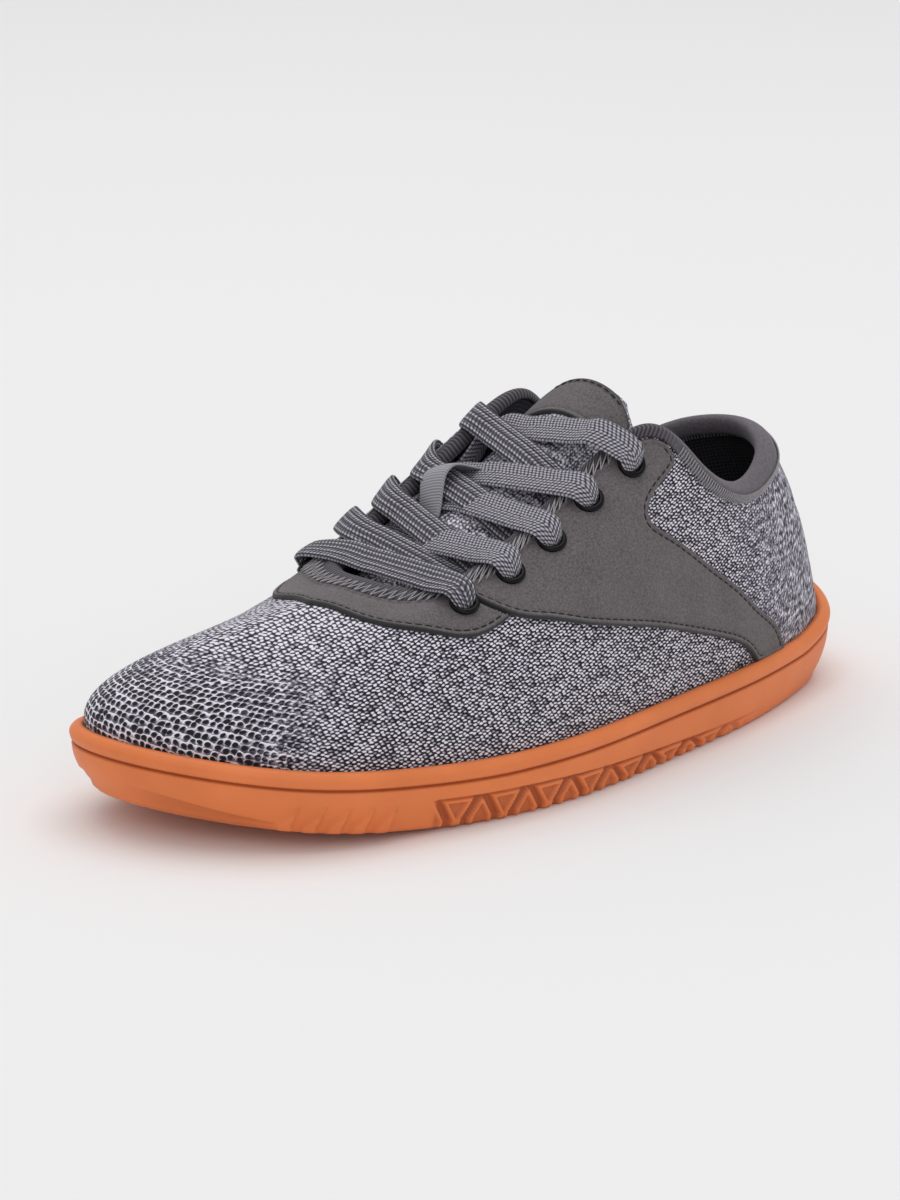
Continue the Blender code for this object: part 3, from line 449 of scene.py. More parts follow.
def below_edge(s, distance):
    """Rib position at a distance square to the edge of collar and throat, for narrow tapes."""
    s = np.asarray(s, dtype=float)
    along_ring, up_rib = upper_slopes(s, np.ones_like(s))
    across_edge = unit(np.cross(along_ring, np.cross(up_rib, along_ring)))
    return 1.0 - distance / np.sum(up_rib * across_edge, axis=-1)


def square_from_edge(s, distance):
    """Ring and rib position reached over the outer face, straight away from the edge."""
    t = np.array(1.0)
    edge = unit(upper_slopes(np.array(s), t)[0])
    steps = 12
    for step in range(steps):
        along_ring, up_rib = upper_slopes(np.array(s), t)
        away = unit(np.cross(np.cross(up_rib, along_ring), edge)) * distance / steps
        if np.dot(away, up_rib) > 0.0:
            away = -away
        change = np.linalg.lstsq(np.stack([along_ring, up_rib], axis=1), away, rcond=None)[0]
        s = s + change[0]
        t = t + change[1]
    return np.array(s), t


def edge_frame(s):
    """Out of the face and past the edge, as directions at the edge of collar and throat."""
    along_ring, up_rib = upper_slopes(s, np.ones_like(s))
    out = unit(np.cross(up_rib, along_ring))
    return out, unit(np.cross(along_ring, np.cross(up_rib, along_ring)))


def edge_point(s, depth, beyond):
    """Point at a depth outside the outer face at the edge, moved up past the edge."""
    out, past = edge_frame(s)
    depth = np.broadcast_to(depth, np.shape(s))[..., None]
    beyond = np.broadcast_to(beyond, np.shape(s))[..., None]
    return upper_point(s, np.ones_like(s)) + out * depth + past * beyond


def tongue_point(v, w, depth):
    """Point over the tongue's top face: v runs to its top, w from its inner to its outer edge."""
    v, w = np.broadcast_arrays(np.asarray(v, dtype=float), np.asarray(w, dtype=float))

    def face(v, w):
        row = TongueRow(*np.moveaxis(table_at(TONGUE, v) * MM, -1, 0))
        return place(row.along, row.centre + row.half * w, row.up - row.sag * w**2)

    step = 0.002
    down = face(v + step, w) - face(v - step, w)
    side = face(v, w + step) - face(v, w - step)
    depth = np.broadcast_to(depth, v.shape)[..., None]
    return face(v, w) + unit(np.cross(side, down)) * depth


def under_binding(s):
    """Rib position just below the binding's outer leg."""
    return below_edge(s, rib_at(s).tape + SEAM_GAP)


def saddle_spots(v, u, mirrored):
    """Ring and rib positions of the saddle, down it by v and from its front to its rear edge by u."""
    row = SaddleRow(*np.moveaxis(table_at(SADDLE, v), -1, 0))
    top = SADDLE[0]
    s = row.front_s * (1.0 - u) + row.rear_s * u
    t = row.front_t * (1.0 - u) + row.rear_t * u
    top_s = top.front_s * (1.0 - u) + top.rear_s * u
    top_t = top.front_t * (1.0 - u) + top.rear_t * u
    if mirrored:
        s = RING_ROWS - s
        top_s = RING_ROWS - top_s
    return s, t + (under_binding(top_s) - top_t) * (1.0 - v)**3


def vamp_half(share, w, mirrored):
    """Ring and rib positions of one half of the vamp stay, from the saddle's front edge to the toe."""
    row = VampRow(*np.moveaxis(table_at(VAMP, share), -1, 0))
    first = VAMP[0]
    s = row.low_s * (1.0 - w) + row.high_s * w
    first_s = first.low_s * (1.0 - w) + first.high_s * w
    seam_s, seam_t = saddle_spots(SADDLE_CORNER * (1.0 - w), 0.0, mirrored)
    if mirrored:
        s = RING_ROWS - s
        first_s = RING_ROWS - first_s
    seam_s = seam_s + (-VAMP_SEAM if mirrored else VAMP_SEAM)
    near_saddle = 1.0 - smooth_step(0.0, VAMP_BLEND, share)
    s = s + (seam_s - first_s) * near_saddle
    top_t = under_binding(s[:, -1:])
    t = row.low_t * (1.0 - w) + top_t * w
    first_t = first.low_t * (1.0 - w) + top_t[:1] * w
    return s, t + (seam_t - first_t) * near_saddle * (1.0 - w**4)


def eyelet_frame(side, index):
    """Matrix of an eyelet: its origin on the overlay's face and its Z axis out of it."""
    row = EYELETS[index]
    s, t = square_from_edge(RING_ROWS - row.s if side == "medial" else row.s, row.distance * MM)
    along_ring, up_rib = upper_slopes(s, t)
    axis = unit(np.cross(up_rib, along_ring))
    across = unit(np.cross(up_rib, axis))
    origin = skin(s, t, OVERLAY_GAP + OVERLAY_THICKNESS + GAP)
    columns = (across, np.cross(axis, across), axis, origin)
    return Matrix([[*(float(column[row]) for column in columns)] for row in range(3)] + [[0, 0, 0, 1]])


EYELET_FRAMES = {(side, index): eyelet_frame(side, index)
                 for side in ("lateral", "medial") for index in range(len(EYELETS))}


def run_lengths(points, axis):
    """Length run so far along an axis of a grid of points."""
    steps = np.linalg.norm(np.diff(points, axis=axis), axis=-1)
    pad = [(0, 0)] * steps.ndim
    pad[axis] = (1, 0)
    return np.cumsum(np.pad(steps, pad), axis=axis)


def edge_spacing(count):
    """Shares from 0 to 1 that lie closer together near both ends."""
    crowding = 0.65
    even = np.linspace(0.0, 1.0, count)
    return (1.0 - crowding) * even + crowding * 0.5 * (1.0 - np.cos(pi * even))


def nearest(points, line):
    """Distance of each point of a grid from the nearest point of a line."""
    batch = 400
    flat = points.reshape(-1, 3)
    found = np.concatenate([np.min(np.linalg.norm(part[:, None] - line[None], axis=-1), axis=1)
                            for part in np.array_split(flat, max(1, len(flat) // batch))])
    return found.reshape(points.shape[:-1])


def fine_line(points, count=500):
    """The same line with its points evenly spaced."""
    run = run_lengths(points, 0)
    at = np.linspace(0.0, run[-1], count)
    return np.stack([np.interp(at, run, points[:, axis]) for axis in range(3)], axis=1)


def grid_faces(rows, columns, ring_rows=False, ring_columns=False, first=0):
    """Quads between neighbouring points of a grid, closed round either way where asked."""
    row = np.arange(rows if ring_rows else rows - 1)[:, None]
    column = np.arange(columns if ring_columns else columns - 1)[None, :]
    ahead = (row + 1) % rows
    beside = (column + 1) % columns
    corners = (row * columns + column, row * columns + beside,
               ahead * columns + beside, ahead * columns + column)
    return first + np.stack(np.broadcast_arrays(*corners), axis=-1).reshape(-1, 4)


def add_object(name, data):
    made = bpy.data.objects.new(name, data)
    bpy.context.scene.collection.objects.link(made)
    return made


def mark_points(mesh, marks):
    """Keeps values as attributes of a mesh's points."""
    for mark, values in marks.items():
        layer = mesh.attributes.new(mark, "FLOAT", "POINT")
        layer.data.foreach_set("value", np.ravel(values).astype(np.float32))


def rework(mesh, change):
    """Runs one of bmesh's operators over all faces of a mesh."""
    work = bmesh.new()
    work.from_mesh(mesh)
    change(work, faces=work.faces)
    work.to_mesh(mesh)
    work.free()


def make_piece(name, points, faces, finishes, chart=None, marks=None, finish_index=None, round_trip=None):
    """A closed mesh object with its faces out, its chart as a UV map and its marks as attributes.

    round_trip is the chart's length round a ring, so that faces across the ring's start don't fold.
    """
    mesh = bpy.data.meshes.new(name)
    mesh.from_pydata(points.reshape(-1, 3).tolist(), [], [tuple(face) for face in faces])
    if finish_index is not None:
        mesh.polygons.foreach_set("material_index", np.asarray(finish_index, dtype=np.int32))
    mark_points(mesh, marks or {})
    if chart is not None:
        corner = np.empty(len(mesh.loops), dtype=np.int32)
        mesh.loops.foreach_get("vertex_index", corner)
        place_on_chart = chart.reshape(-1, 2)[corner].copy()
        if round_trip:
            across = place_on_chart.reshape(-1, 4, 2)[..., 0]
            folded = across.max(axis=1) - across.min(axis=1) > 0.5 * round_trip
            across[folded] += np.where(across[folded] < 0.5 * round_trip, round_trip, 0.0)
        mesh.uv_layers.new(name=CHART).data.foreach_set("uv", place_on_chart.ravel())
    rework(mesh, bmesh.ops.recalc_face_normals)
    mesh.shade_smooth()
    for finish in finishes:
        mesh.materials.append(finish)
    return add_object(name, mesh)


def settle(piece, slot, *nodes):
    """Hangs a finished piece on the shoe's body, in place of the CAD nodes it stands for."""
    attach(piece, "root")
    if nodes:
        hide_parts(*nodes)
    return piece


def sheet_solid(outer, inner):
    """Points and quads of a sheet between two grids of points, closed round its rim."""
    rows, columns = outer.shape[:2]
    count = rows * columns
    rim = np.concatenate([np.arange(columns), columns * np.arange(1, rows) + columns - 1,
                          (rows - 1) * columns + np.arange(columns - 2, -1, -1),
                          columns * np.arange(rows - 2, 0, -1)])
    ahead = np.roll(rim, -1)
    faces = np.concatenate([grid_faces(rows, columns), grid_faces(rows, columns, first=count)[:, ::-1],
                            np.stack([ahead, rim, rim + count, ahead + count], axis=1)])
    return np.concatenate([outer.reshape(-1, 3), inner.reshape(-1, 3)]), faces


def border(points):
    """Line round the rim of a grid of points."""
    return np.concatenate([points[0], points[1:, -1], points[-1, -2::-1], points[-2:0:-1, 0]])


def rounded_sheet(name, face, base, thick, finish, round_off, rim=0.0, stitch_line=0.0, chart=False):
    """A sheet over a face with rounded edges, a raised rim and a groove pressed in by its stitches.

    face gives the grid of points at a depth. The mark edge holds each point's distance from the edge.
    """
    flat = face(base + 0.5 * thick)
    distance = nearest(flat, fine_line(border(flat), 1400))
    share = np.clip(distance / round_off, 0.0, 1.0)
    swell = thick * (EDGE_SHARE + (1.0 - EDGE_SHARE) * np.sqrt(1.0 - (1.0 - share)**2))
    swell += rim * np.exp(-((distance - RIM_INSET) / RIM_HALF)**2) * smooth_step(0.0, 0.6 * MM, distance)
    if stitch_line:
        swell -= SEAM_DEPTH * np.exp(-((distance - stitch_line) / SEAM_HALF)**2)
    points, faces = sheet_solid(face(base + swell), face(base))
    marks = {"edge": np.concatenate([distance.ravel(), np.zeros(distance.size)])}
    both_faces = None
    if chart:
        across = run_lengths(flat, 1)
        one_face = np.stack([across - 0.5 * across[:, -1:], run_lengths(flat, 0)], axis=-1).reshape(-1, 2)
        both_faces = np.concatenate([one_face, one_face])
    return make_piece(name, points, faces, [finish], chart=both_faces, marks=marks)


def cut_holes(piece, keys):
    """Round holes for the barrels of eyelets, through the piece, cut in flat triangles."""
    rework(piece.data, bmesh.ops.triangulate)
    mesh = bpy.data.meshes.new("hole_cutter")
    work = bmesh.new()
    for key in keys:
        bmesh.ops.create_cone(work, cap_ends=True, segments=HOLE_SIDES, radius1=HOLE_RADIUS,
                              radius2=HOLE_RADIUS, depth=HOLE_DEPTH, matrix=EYELET_FRAMES[key])
    work.to_mesh(mesh)
    work.free()
    cutter = add_object("hole_cutter", mesh)
    cut = piece.modifiers.new("holes", "BOOLEAN")
    cut.operation = "DIFFERENCE"
    cut.solver = "EXACT"
    cut.object = cutter
    make_plain(piece)
    bpy.data.objects.remove(cutter)


def make_plain(piece):
    """Turns a piece with modifiers into the plain mesh that they give."""
    evaluated = piece.evaluated_get(bpy.context.evaluated_depsgraph_get())
    mesh = bpy.data.meshes.new_from_object(evaluated)
    piece.modifiers.clear()
    piece.data = mesh


# Materials

# Sockets of a Mix node, by number because its numbers and its colours share their names
SHARE, NUMBER_A, NUMBER_B, TONE_A, TONE_B, TONE_OUT = 0, 2, 3, 6, 7, 2


def feed(tree, made, feeds):
    """Sets or links the inputs of a node."""
    for key, value in feeds.items():
        if isinstance(value, bpy.types.Node):
            value = value.outputs[0]
        if isinstance(value, bpy.types.NodeSocket):
            tree.links.new(value, made.inputs[key])
        else:
            made.inputs[key].default_value = value


def node(tree, kind, feeds=None, **settings):
    """Adds a node with its settings, and sets or links the inputs it is fed by."""
    made = tree.nodes.new(kind)
    for name, value in settings.items():
        setattr(made, name, value)
    feed(tree, made, feeds or {})
    return made


def new_finish(name, values):
    """A material with its shader's constant values set on the shader's own sockets."""
    finish = bpy.data.materials.new(name)
    finish.use_nodes = True
    shader = finish.node_tree.nodes["Principled BSDF"]
    feed(finish.node_tree, shader, values)
    return finish, finish.node_tree, shader


def paint(colour):
    return (*colour, 1.0)


def set_stops(ramp, *stops):
    """Gives a ramp its stops, each with a place and a colour."""
    elements = ramp.color_ramp.elements
    while len(elements) < len(stops):
        elements.new(0.5)
    for stop, (position, colour) in zip(elements, stops):
        stop.position = position
        stop.color = paint(colour)


def along_axes(tree, spot, *axes):
    """A spot's distances along axes, for a pattern that is slanted or drawn out."""
    parts = [node(tree, "ShaderNodeVectorMath", {0: spot, 1: (*axis, 0.0)},
                  operation="DOT_PRODUCT").outputs["Value"] for axis in axes]
    return node(tree, "ShaderNodeCombineXYZ", dict(enumerate(parts)))


def mottled(name, values, grain, detail, shade, colour, strength=0.0, height=0.0):
    """A finish whose tone, and relief where it has one, follow one noise of a grain in metres."""
    finish, tree, shader = new_finish(name, values)
    spot = node(tree, "ShaderNodeTexCoord").outputs["Object"]
    noise = node(tree, "ShaderNodeTexNoise", {"Vector": spot, "Scale": 1 / grain, "Detail": detail})
    tone = node(tree, "ShaderNodeMix", {SHARE: noise, TONE_A: paint(shade), TONE_B: paint(colour)},
                data_type="RGBA")
    feed(tree, shader, {"Base Color": tone.outputs[TONE_OUT]})
    if strength:
        bump = node(tree, "ShaderNodeBump", {"Height": noise, "Strength": strength, "Distance": height})
        feed(tree, shader, {"Normal": bump})
    return finish, tree, shader, noise


def heathered_knit(colours):
    """Heathered warp knit of matt polyester: pale loops, grey body and dark open holes.

    The toe has an open gauge with holes 2.2 by 2.1 mm apart. The sides have V stitches, whose legs lie
    about 1 by 1.2 mm apart in lines that climb toward the heel. The heel is close, with fine streaks.
    """
    finish, tree, shader = new_finish("heathered_warp_knit", {"Roughness": 0.92, "Sheen Weight": 0.08})
    chart = node(tree, "ShaderNodeUVMap", uv_map=CHART)
    toe, heel, light, wale, course = (node(tree, "ShaderNodeAttribute", attribute_name=name).outputs["Fac"]
                                      for name in ("toe", "heel", "light", "wale", "course"))
    uneven = node(tree, "ShaderNodeTexNoise", {"Vector": chart, "Scale": 1 / (3.2 * MM), "Detail": 1.0},
                  noise_dimensions="2D")
    sway = node(tree, "ShaderNodeVectorMath", {0: uneven.outputs["Color"], 1: (0.4, 0.4, 0.0)},
                operation="MULTIPLY")
    # The legs of a V stitch lie in two lines and lean to each other
    to_and_fro = node(tree, "ShaderNodeMath", {0: wale, 1: 1.0}, operation="PINGPONG")
    leg_course = node(tree, "ShaderNodeMath", {0: to_and_fro, 1: 0.38, 2: course}, operation="MULTIPLY_ADD")
    holes = along_axes(tree, chart, *((across / MM, up / MM) for across, up in TOE_LATTICE))
    legs = node(tree, "ShaderNodeCombineXYZ", {0: wale, 1: leg_course})
    spots, cells, chance, heights = {}, {}, {}, {}
    for zone, even, jitter in (("toe", holes, 0.36), ("side", legs, 0.28)):
        spots[zone] = node(tree, "ShaderNodeVectorMath", {0: even, 1: sway}, operation="ADD")
        cells[zone] = node(tree, "ShaderNodeTexVoronoi",
                           {"Vector": spots[zone], "Scale": 1.0, "Randomness": jitter},
                           voronoi_dimensions="2D")
        chance[zone] = node(tree, "ShaderNodeSeparateColor", {0: cells[zone].outputs["Color"]})

    # Toe: a dark hole in each cell with a pale loop curling round one side of it, each at its own strength
    loop = node(tree, "ShaderNodeMapRange",
                {"Value": cells["toe"].outputs["Distance"], "From Min": 0.25, "From Max": 0.46},
                interpolation_type="SMOOTHSTEP")
    off_middle = node(tree, "ShaderNodeVectorMath", {0: spots["toe"], 1: cells["toe"].outputs["Position"]},
                      operation="SUBTRACT")
    curl = node(tree, "ShaderNodeVectorMath", {0: off_middle, 1: (0.55, 0.83, 0.0)},
                operation="DOT_PRODUCT").outputs["Value"]
    bright = node(tree, "ShaderNodeMapRange",
                  {"Value": chance["toe"].outputs[0], "To Min": 0.80, "To Max": 1.65})
    lit = node(tree, "ShaderNodeMapRange",
               {"Value": curl, "From Min": -0.4, "From Max": 0.42, "To Min": 0.26, "To Max": 1.0})
    curled = node(tree, "ShaderNodeMath", {0: loop, 1: lit}, operation="MULTIPLY")
    heights["toe"] = node(tree, "ShaderNodeMath", {0: curled, 1: bright}, operation="MULTIPLY")

    # Sides: a pale leg of a stitch in each cell, with dark gaps between the legs
    leg = node(tree, "ShaderNodeMapRange",
               {"Value": cells["side"].outputs["Distance"], "From Min": 0.16, "From Max": 0.58,
                "To Min": 1.0, "To Max": 0.0}, interpolation_type="SMOOTHSTEP")
    strength = node(tree, "ShaderNodeMapRange",
                    {"Value": chance["side"].outputs[1], "To Min": 0.66, "To Max": 1.28})
    heights["side"] = node(tree, "ShaderNodeMath", {0: leg, 1: strength}, operation="MULTIPLY")

    # Heel: fine slanted streaks, 0.65 mm across and 2.2 mm long
    streak_spot = along_axes(tree, chart, (0.80 / (0.65 * MM), 0.60 / (0.65 * MM)),
                             (-0.60 / (2.2 * MM), 0.80 / (2.2 * MM)))
    streaks = node(tree, "ShaderNodeTexNoise", {"Vector": streak_spot, "Scale": 1.0, "Detail": 2.0},
                   noise_dimensions="2D")
    heights["heel"] = node(tree, "ShaderNodeMapRange", {"Value": streaks, "From Min": 0.33, "From Max": 0.67,
                                                        "To Min": 0.12, "To Max": 0.88})

    body = node(tree, "ShaderNodeMix", {SHARE: toe, NUMBER_A: heights["side"], NUMBER_B: heights["toe"]})
    body = node(tree, "ShaderNodeMix", {SHARE: heel, NUMBER_A: body, NUMBER_B: heights["heel"]})
    # Yarn dyed in light and dark lengths, about 1.7 by 7 mm along the courses
    dye_spot = along_axes(tree, chart, (1 / (7.0 * MM), 0.3 / (7.0 * MM)), (0.0, 1 / (1.7 * MM)))
    dye = node(tree, "ShaderNodeTexNoise", {"Vector": dye_spot, "Scale": 1.0, "Detail": 3.0},
               noise_dimensions="2D")
    shift = node(tree, "ShaderNodeMapRange",
                 {"Value": dye, "From Min": 0.3, "From Max": 0.7, "To Min": -0.16, "To Max": 0.16})
    lifted = node(tree, "ShaderNodeMath", {0: body, 1: shift}, operation="ADD")
    # Painted light: the top of the toe, and the tongue, are made paler as if lit from above
    painted_top_light = node(tree, "ShaderNodeMath", {0: light, 1: 0.15, 2: lifted}, operation="MULTIPLY_ADD")
    ramp = node(tree, "ShaderNodeValToRGB", {0: painted_top_light})
    set_stops(ramp, (0.10, colours.knit_hole), (0.46, colours.knit_body), (0.92, colours.knit_loop))
    bump = node(tree, "ShaderNodeBump", {"Height": painted_top_light, "Strength": 0.55, "Distance": 0.5 * MM})
    feed(tree, shader, {"Base Color": ramp, "Normal": bump})
    return finish


def mesh_lining(colours):
    """Black spacer mesh lining: matt, with fine rows of pinholes drawn at 1.4 mm so that they show."""
    finish, tree, shader = new_finish("black_mesh_lining", {"Roughness": 0.95, "Sheen Weight": 0.05})
    chart = node(tree, "ShaderNodeUVMap", uv_map=CHART)
    cells = node(tree, "ShaderNodeTexVoronoi", {"Vector": chart, "Scale": 1 / (1.4 * MM), "Randomness": 0.15},
                 voronoi_dimensions="2D")
    ramp = node(tree, "ShaderNodeValToRGB", {0: cells.outputs["Distance"]})
    set_stops(ramp, (0.25, colours.lining_hole), (0.6, colours.lining))
    bump = node(tree, "ShaderNodeBump",
                {"Height": cells.outputs["Distance"], "Strength": 0.5, "Distance": 0.3 * MM})
    feed(tree, shader, {"Base Color": ramp, "Normal": bump})
    return finish


def sanded_nubuck(colours):
    """Microfibre nubuck, sanded: a warm grey nap with fine pale specks, dark at its cut edges.

    The nap's grain of about 0.1 mm is drawn at 0.7 mm so that it shows.
    """
    finish, tree, shader = new_finish("sanded_nubuck",
                                      {"Roughness": 0.86, "Sheen Weight": 0.12, "Sheen Roughness": 0.6})
    spot = node(tree, "ShaderNodeTexCoord").outputs["Object"]
    grain = node(tree, "ShaderNodeTexNoise",
                 {"Vector": spot, "Scale": 1 / (0.7 * MM), "Detail": 2.0, "Roughness": 0.7})
    rubbed = node(tree, "ShaderNodeTexNoise", {"Vector": spot, "Scale": 1 / (11.0 * MM), "Detail": 3.0})
    mixed = node(tree, "ShaderNodeMath", {0: rubbed, 1: 0.25, 2: grain}, operation="MULTIPLY_ADD")
    nap = node(tree, "ShaderNodeMapRange", {"Value": mixed, "From Min": 0.40, "From Max": 0.88})
    tone = node(tree, "ShaderNodeMix",
                {SHARE: nap, TONE_A: paint(colours.nubuck_shade), TONE_B: paint(colours.nubuck)},
                data_type="RGBA")
    edge = node(tree, "ShaderNodeAttribute", attribute_name="edge").outputs["Fac"]
    cut = node(tree, "ShaderNodeMapRange", {"Value": edge, "From Min": 0.25 * MM, "From Max": 1.1 * MM},
               interpolation_type="SMOOTHSTEP")
    edged = node(tree, "ShaderNodeMix",
                 {SHARE: cut, TONE_A: paint(colours.nubuck_edge), TONE_B: tone.outputs[TONE_OUT]},
                 data_type="RGBA")
    bump = node(tree, "ShaderNodeBump", {"Height": grain, "Strength": 0.22, "Distance": 0.2 * MM})
    feed(tree, shader, {"Base Color": edged.outputs[TONE_OUT], "Normal": bump})
    return finish


def ribbed_tape(colours):
    """Folded elastic tape: dark grey, with fine ribs across it every 1.4 mm."""
    finish, tree, shader = new_finish("ribbed_elastic_tape", {"Roughness": 0.85, "Sheen Weight": 0.1})
    chart = node(tree, "ShaderNodeUVMap", uv_map=CHART)
    turns = node(tree, "ShaderNodeVectorMath", {0: chart, 1: (2 * pi / (1.4 * MM), 0.0, 0.0)},
                 operation="DOT_PRODUCT").outputs["Value"]
    wave = node(tree, "ShaderNodeMath", {0: turns}, operation="SINE")
    ribs = node(tree, "ShaderNodeMapRange", {"Value": wave, "From Min": -1.0, "From Max": 1.0})
    ribbed = node(tree, "ShaderNodeAttribute", attribute_name="ribbed").outputs["Fac"]
    spot = node(tree, "ShaderNodeTexCoord").outputs["Object"]
    yarn = node(tree, "ShaderNodeTexNoise", {"Vector": spot, "Scale": 1 / (0.8 * MM), "Detail": 2.0})
    relief = node(tree, "ShaderNodeMix", {SHARE: ribbed, NUMBER_A: yarn, NUMBER_B: ribs})
    collar = node(tree, "ShaderNodeMix",
                  {SHARE: yarn, TONE_A: paint(colours.tape_shade), TONE_B: paint(colours.tape)},
                  data_type="RGBA")
    throat = node(tree, "ShaderNodeMix",
                  {SHARE: ribs, TONE_A: paint(colours.rib_shade), TONE_B: paint(colours.rib)},
                  data_type="RGBA")
    tone = node(tree, "ShaderNodeMix",
                {SHARE: ribbed, TONE_A: collar.outputs[TONE_OUT], TONE_B: throat.outputs[TONE_OUT]},
                data_type="RGBA")
    bump = node(tree, "ShaderNodeBump", {"Height": relief, "Strength": 0.5, "Distance": 0.4 * MM})
    feed(tree, shader, {"Base Color": tone.outputs[TONE_OUT], "Normal": bump})
    return finish


def gum_rubber(colours):
    """Moulded natural gum rubber: an even orange brown, soft gloss, faintly clouded and dusted, painted shade
    where sunk.
    """
    finish, tree, shader = new_finish("gum_rubber", {"Roughness": 0.5, "IOR": 1.5, "Subsurface Weight": 0.04,
                                                     "Subsurface Scale": 0.003})
    spot = node(tree, "ShaderNodeTexCoord").outputs["Object"]
    cloud = node(tree, "ShaderNodeTexNoise", {"Vector": spot, "Scale": 1 / (24.0 * MM), "Detail": 4.0})
    pores = node(tree, "ShaderNodeTexNoise", {"Vector": spot, "Scale": 1 / (0.7 * MM), "Detail": 2.0})
    share = node(tree, "ShaderNodeMapRange", {"Value": cloud, "From Min": 0.3, "From Max": 0.7})
    clean = node(tree, "ShaderNodeMix",
                 {SHARE: share, TONE_A: paint(colours.gum_shade), TONE_B: paint(colours.gum)},
                 data_type="RGBA")
    # Painted shade: sunk points of the lugs, their hollows and the groove darken toward a deep brown
    sunk = node(tree, "ShaderNodeAttribute", attribute_name="sunk").outputs["Fac"]
    painted_shade = node(tree, "ShaderNodeMath", {0: sunk, 1: 0.62}, operation="MULTIPLY")
    tone = node(tree, "ShaderNodeMix",
                {SHARE: painted_shade, TONE_A: clean.outputs[TONE_OUT], TONE_B: paint(colours.gum_recess_shade)},
                data_type="RGBA")
    gloss = node(tree, "ShaderNodeMapRange", {"Value": pores, "To Min": 0.40, "To Max": 0.62})
    bump = node(tree, "ShaderNodeBump", {"Height": pores, "Strength": 0.08, "Distance": 0.2 * MM})
    feed(tree, shader, {"Base Color": tone.outputs[TONE_OUT], "Roughness": gloss, "Normal": bump})
    return finish


def braided_lace(colours):
    """Flat braided polyester lace: pale picks slanting from both edges, with dark grooves between them."""
    finish, tree, shader = new_finish("braided_lace", {"Roughness": 0.85, "Sheen Weight": 0.1})
    chart = node(tree, "ShaderNodeUVMap", uv_map=CHART)
    part = node(tree, "ShaderNodeSeparateXYZ", {0: chart})
    side = node(tree, "ShaderNodeMath", {0: part.outputs[1]}, operation="ABSOLUTE")
    slant = node(tree, "ShaderNodeMath", {0: side, 1: 0.55, 2: part.outputs[0]}, operation="MULTIPLY_ADD")
    # Picks 1.45 mm long and 1.02 mm wide, and grooves 1.9 mm apart
    x = node(tree, "ShaderNodeMath", {0: slant, 1: 1 / (1.45 * MM)}, operation="MULTIPLY")
    y = node(tree, "ShaderNodeMath", {0: part.outputs[1], 1: 1 / (1.02 * MM)}, operation="MULTIPLY")
    spot = node(tree, "ShaderNodeCombineXYZ", {0: x, 1: y})
    picks = node(tree, "ShaderNodeTexVoronoi", {"Vector": spot, "Scale": 1.0, "Randomness": 0.12},
                 voronoi_dimensions="2D")
    raised = node(tree, "ShaderNodeMapRange",
                  {"Value": picks.outputs["Distance"], "From Min": 0.16, "From Max": 0.60, "To Min": 1.0,
                   "To Max": 0.0}, interpolation_type="SMOOTHSTEP")
    turns = node(tree, "ShaderNodeMath", {0: part.outputs[1], 1: 2 * pi / (1.9 * MM)}, operation="MULTIPLY")
    wave = node(tree, "ShaderNodeMath", {0: turns}, operation="COSINE")
    groove = node(tree, "ShaderNodeMapRange", {"Value": wave, "From Min": -1.0, "From Max": -0.2})
    grooved = node(tree, "ShaderNodeAttribute", attribute_name="grooved").outputs["Fac"]
    keep = node(tree, "ShaderNodeMix", {SHARE: grooved, NUMBER_A: 1.0, NUMBER_B: groove})
    height = node(tree, "ShaderNodeMath", {0: raised, 1: keep}, operation="MULTIPLY")
    ramp = node(tree, "ShaderNodeValToRGB", {0: height})
    set_stops(ramp, (0.0, colours.lace_groove), (0.45, colours.lace), (1.0, colours.lace_pick))
    bump = node(tree, "ShaderNodeBump", {"Height": height, "Strength": 0.7, "Distance": 0.4 * MM})
    feed(tree, shader, {"Base Color": ramp, "Normal": bump})
    return finish


def woven_webbing(colours):
    """Pale grey grosgrain webbing with crosswise ribs every 0.9 mm and a faint silky gloss."""
    finish, tree, shader = new_finish("grosgrain_webbing", {"Roughness": 0.6, "Sheen Weight": 0.1})
    chart = node(tree, "ShaderNodeUVMap", uv_map=CHART)
    turns = node(tree, "ShaderNodeVectorMath", {0: chart, 1: (0.0, 2 * pi / (0.9 * MM), 0.0)},
                 operation="DOT_PRODUCT").outputs["Value"]
    wave = node(tree, "ShaderNodeMath", {0: turns}, operation="SINE")
    ribs = node(tree, "ShaderNodeMapRange", {"Value": wave, "From Min": -1.0, "From Max": 1.0})
    tone = node(tree, "ShaderNodeMix",
                {SHARE: ribs, TONE_A: paint(colours.webbing_shade), TONE_B: paint(colours.webbing)},
                data_type="RGBA")
    bump = node(tree, "ShaderNodeBump", {"Height": ribs, "Strength": 0.4, "Distance": 0.25 * MM})
    feed(tree, shader, {"Base Color": tone.outputs[TONE_OUT], "Normal": bump})
    return finish


def black_enamel(colours):
    """Stove enamelled brass eyelet: glossy black with faint orange peel and rubbed, duller patches."""
    values = {"Roughness": 0.16, "Specular IOR Level": 0.15, "Coat Weight": 0.05, "Coat Roughness": 0.08}
    finish, tree, shader, peel = mottled("black_enamel", values, 0.9 * MM, 2.0, colours.enamel,
                                         colours.enamel_worn, 0.05, 0.2 * MM)
    gloss = node(tree, "ShaderNodeMapRange", {"Value": peel, "To Min": 0.10, "To Max": 0.24})
    feed(tree, shader, {"Roughness": gloss})
    return finish


def sewing_thread(name, colour, shade):
    """Twisted sewing thread: matt, with light and dark plies every 0.6 mm."""
    values = {"Roughness": 0.8, "Sheen Weight": 0.1}
    return mottled(name, values, 0.6 * MM, 1.0, shade, colour, 0.2, 0.1 * MM)[0]


def sock_fabric(colours):
    """Brushed black fabric on the insole's foam: matt, softly mottled."""
    values = {"Roughness": 0.95, "Sheen Weight": 0.1}
    return mottled("brushed_sock_fabric", values, 0.9 * MM, 3.0, colours.lining_hole, colours.lining,
                   0.3, 0.3 * MM)[0]


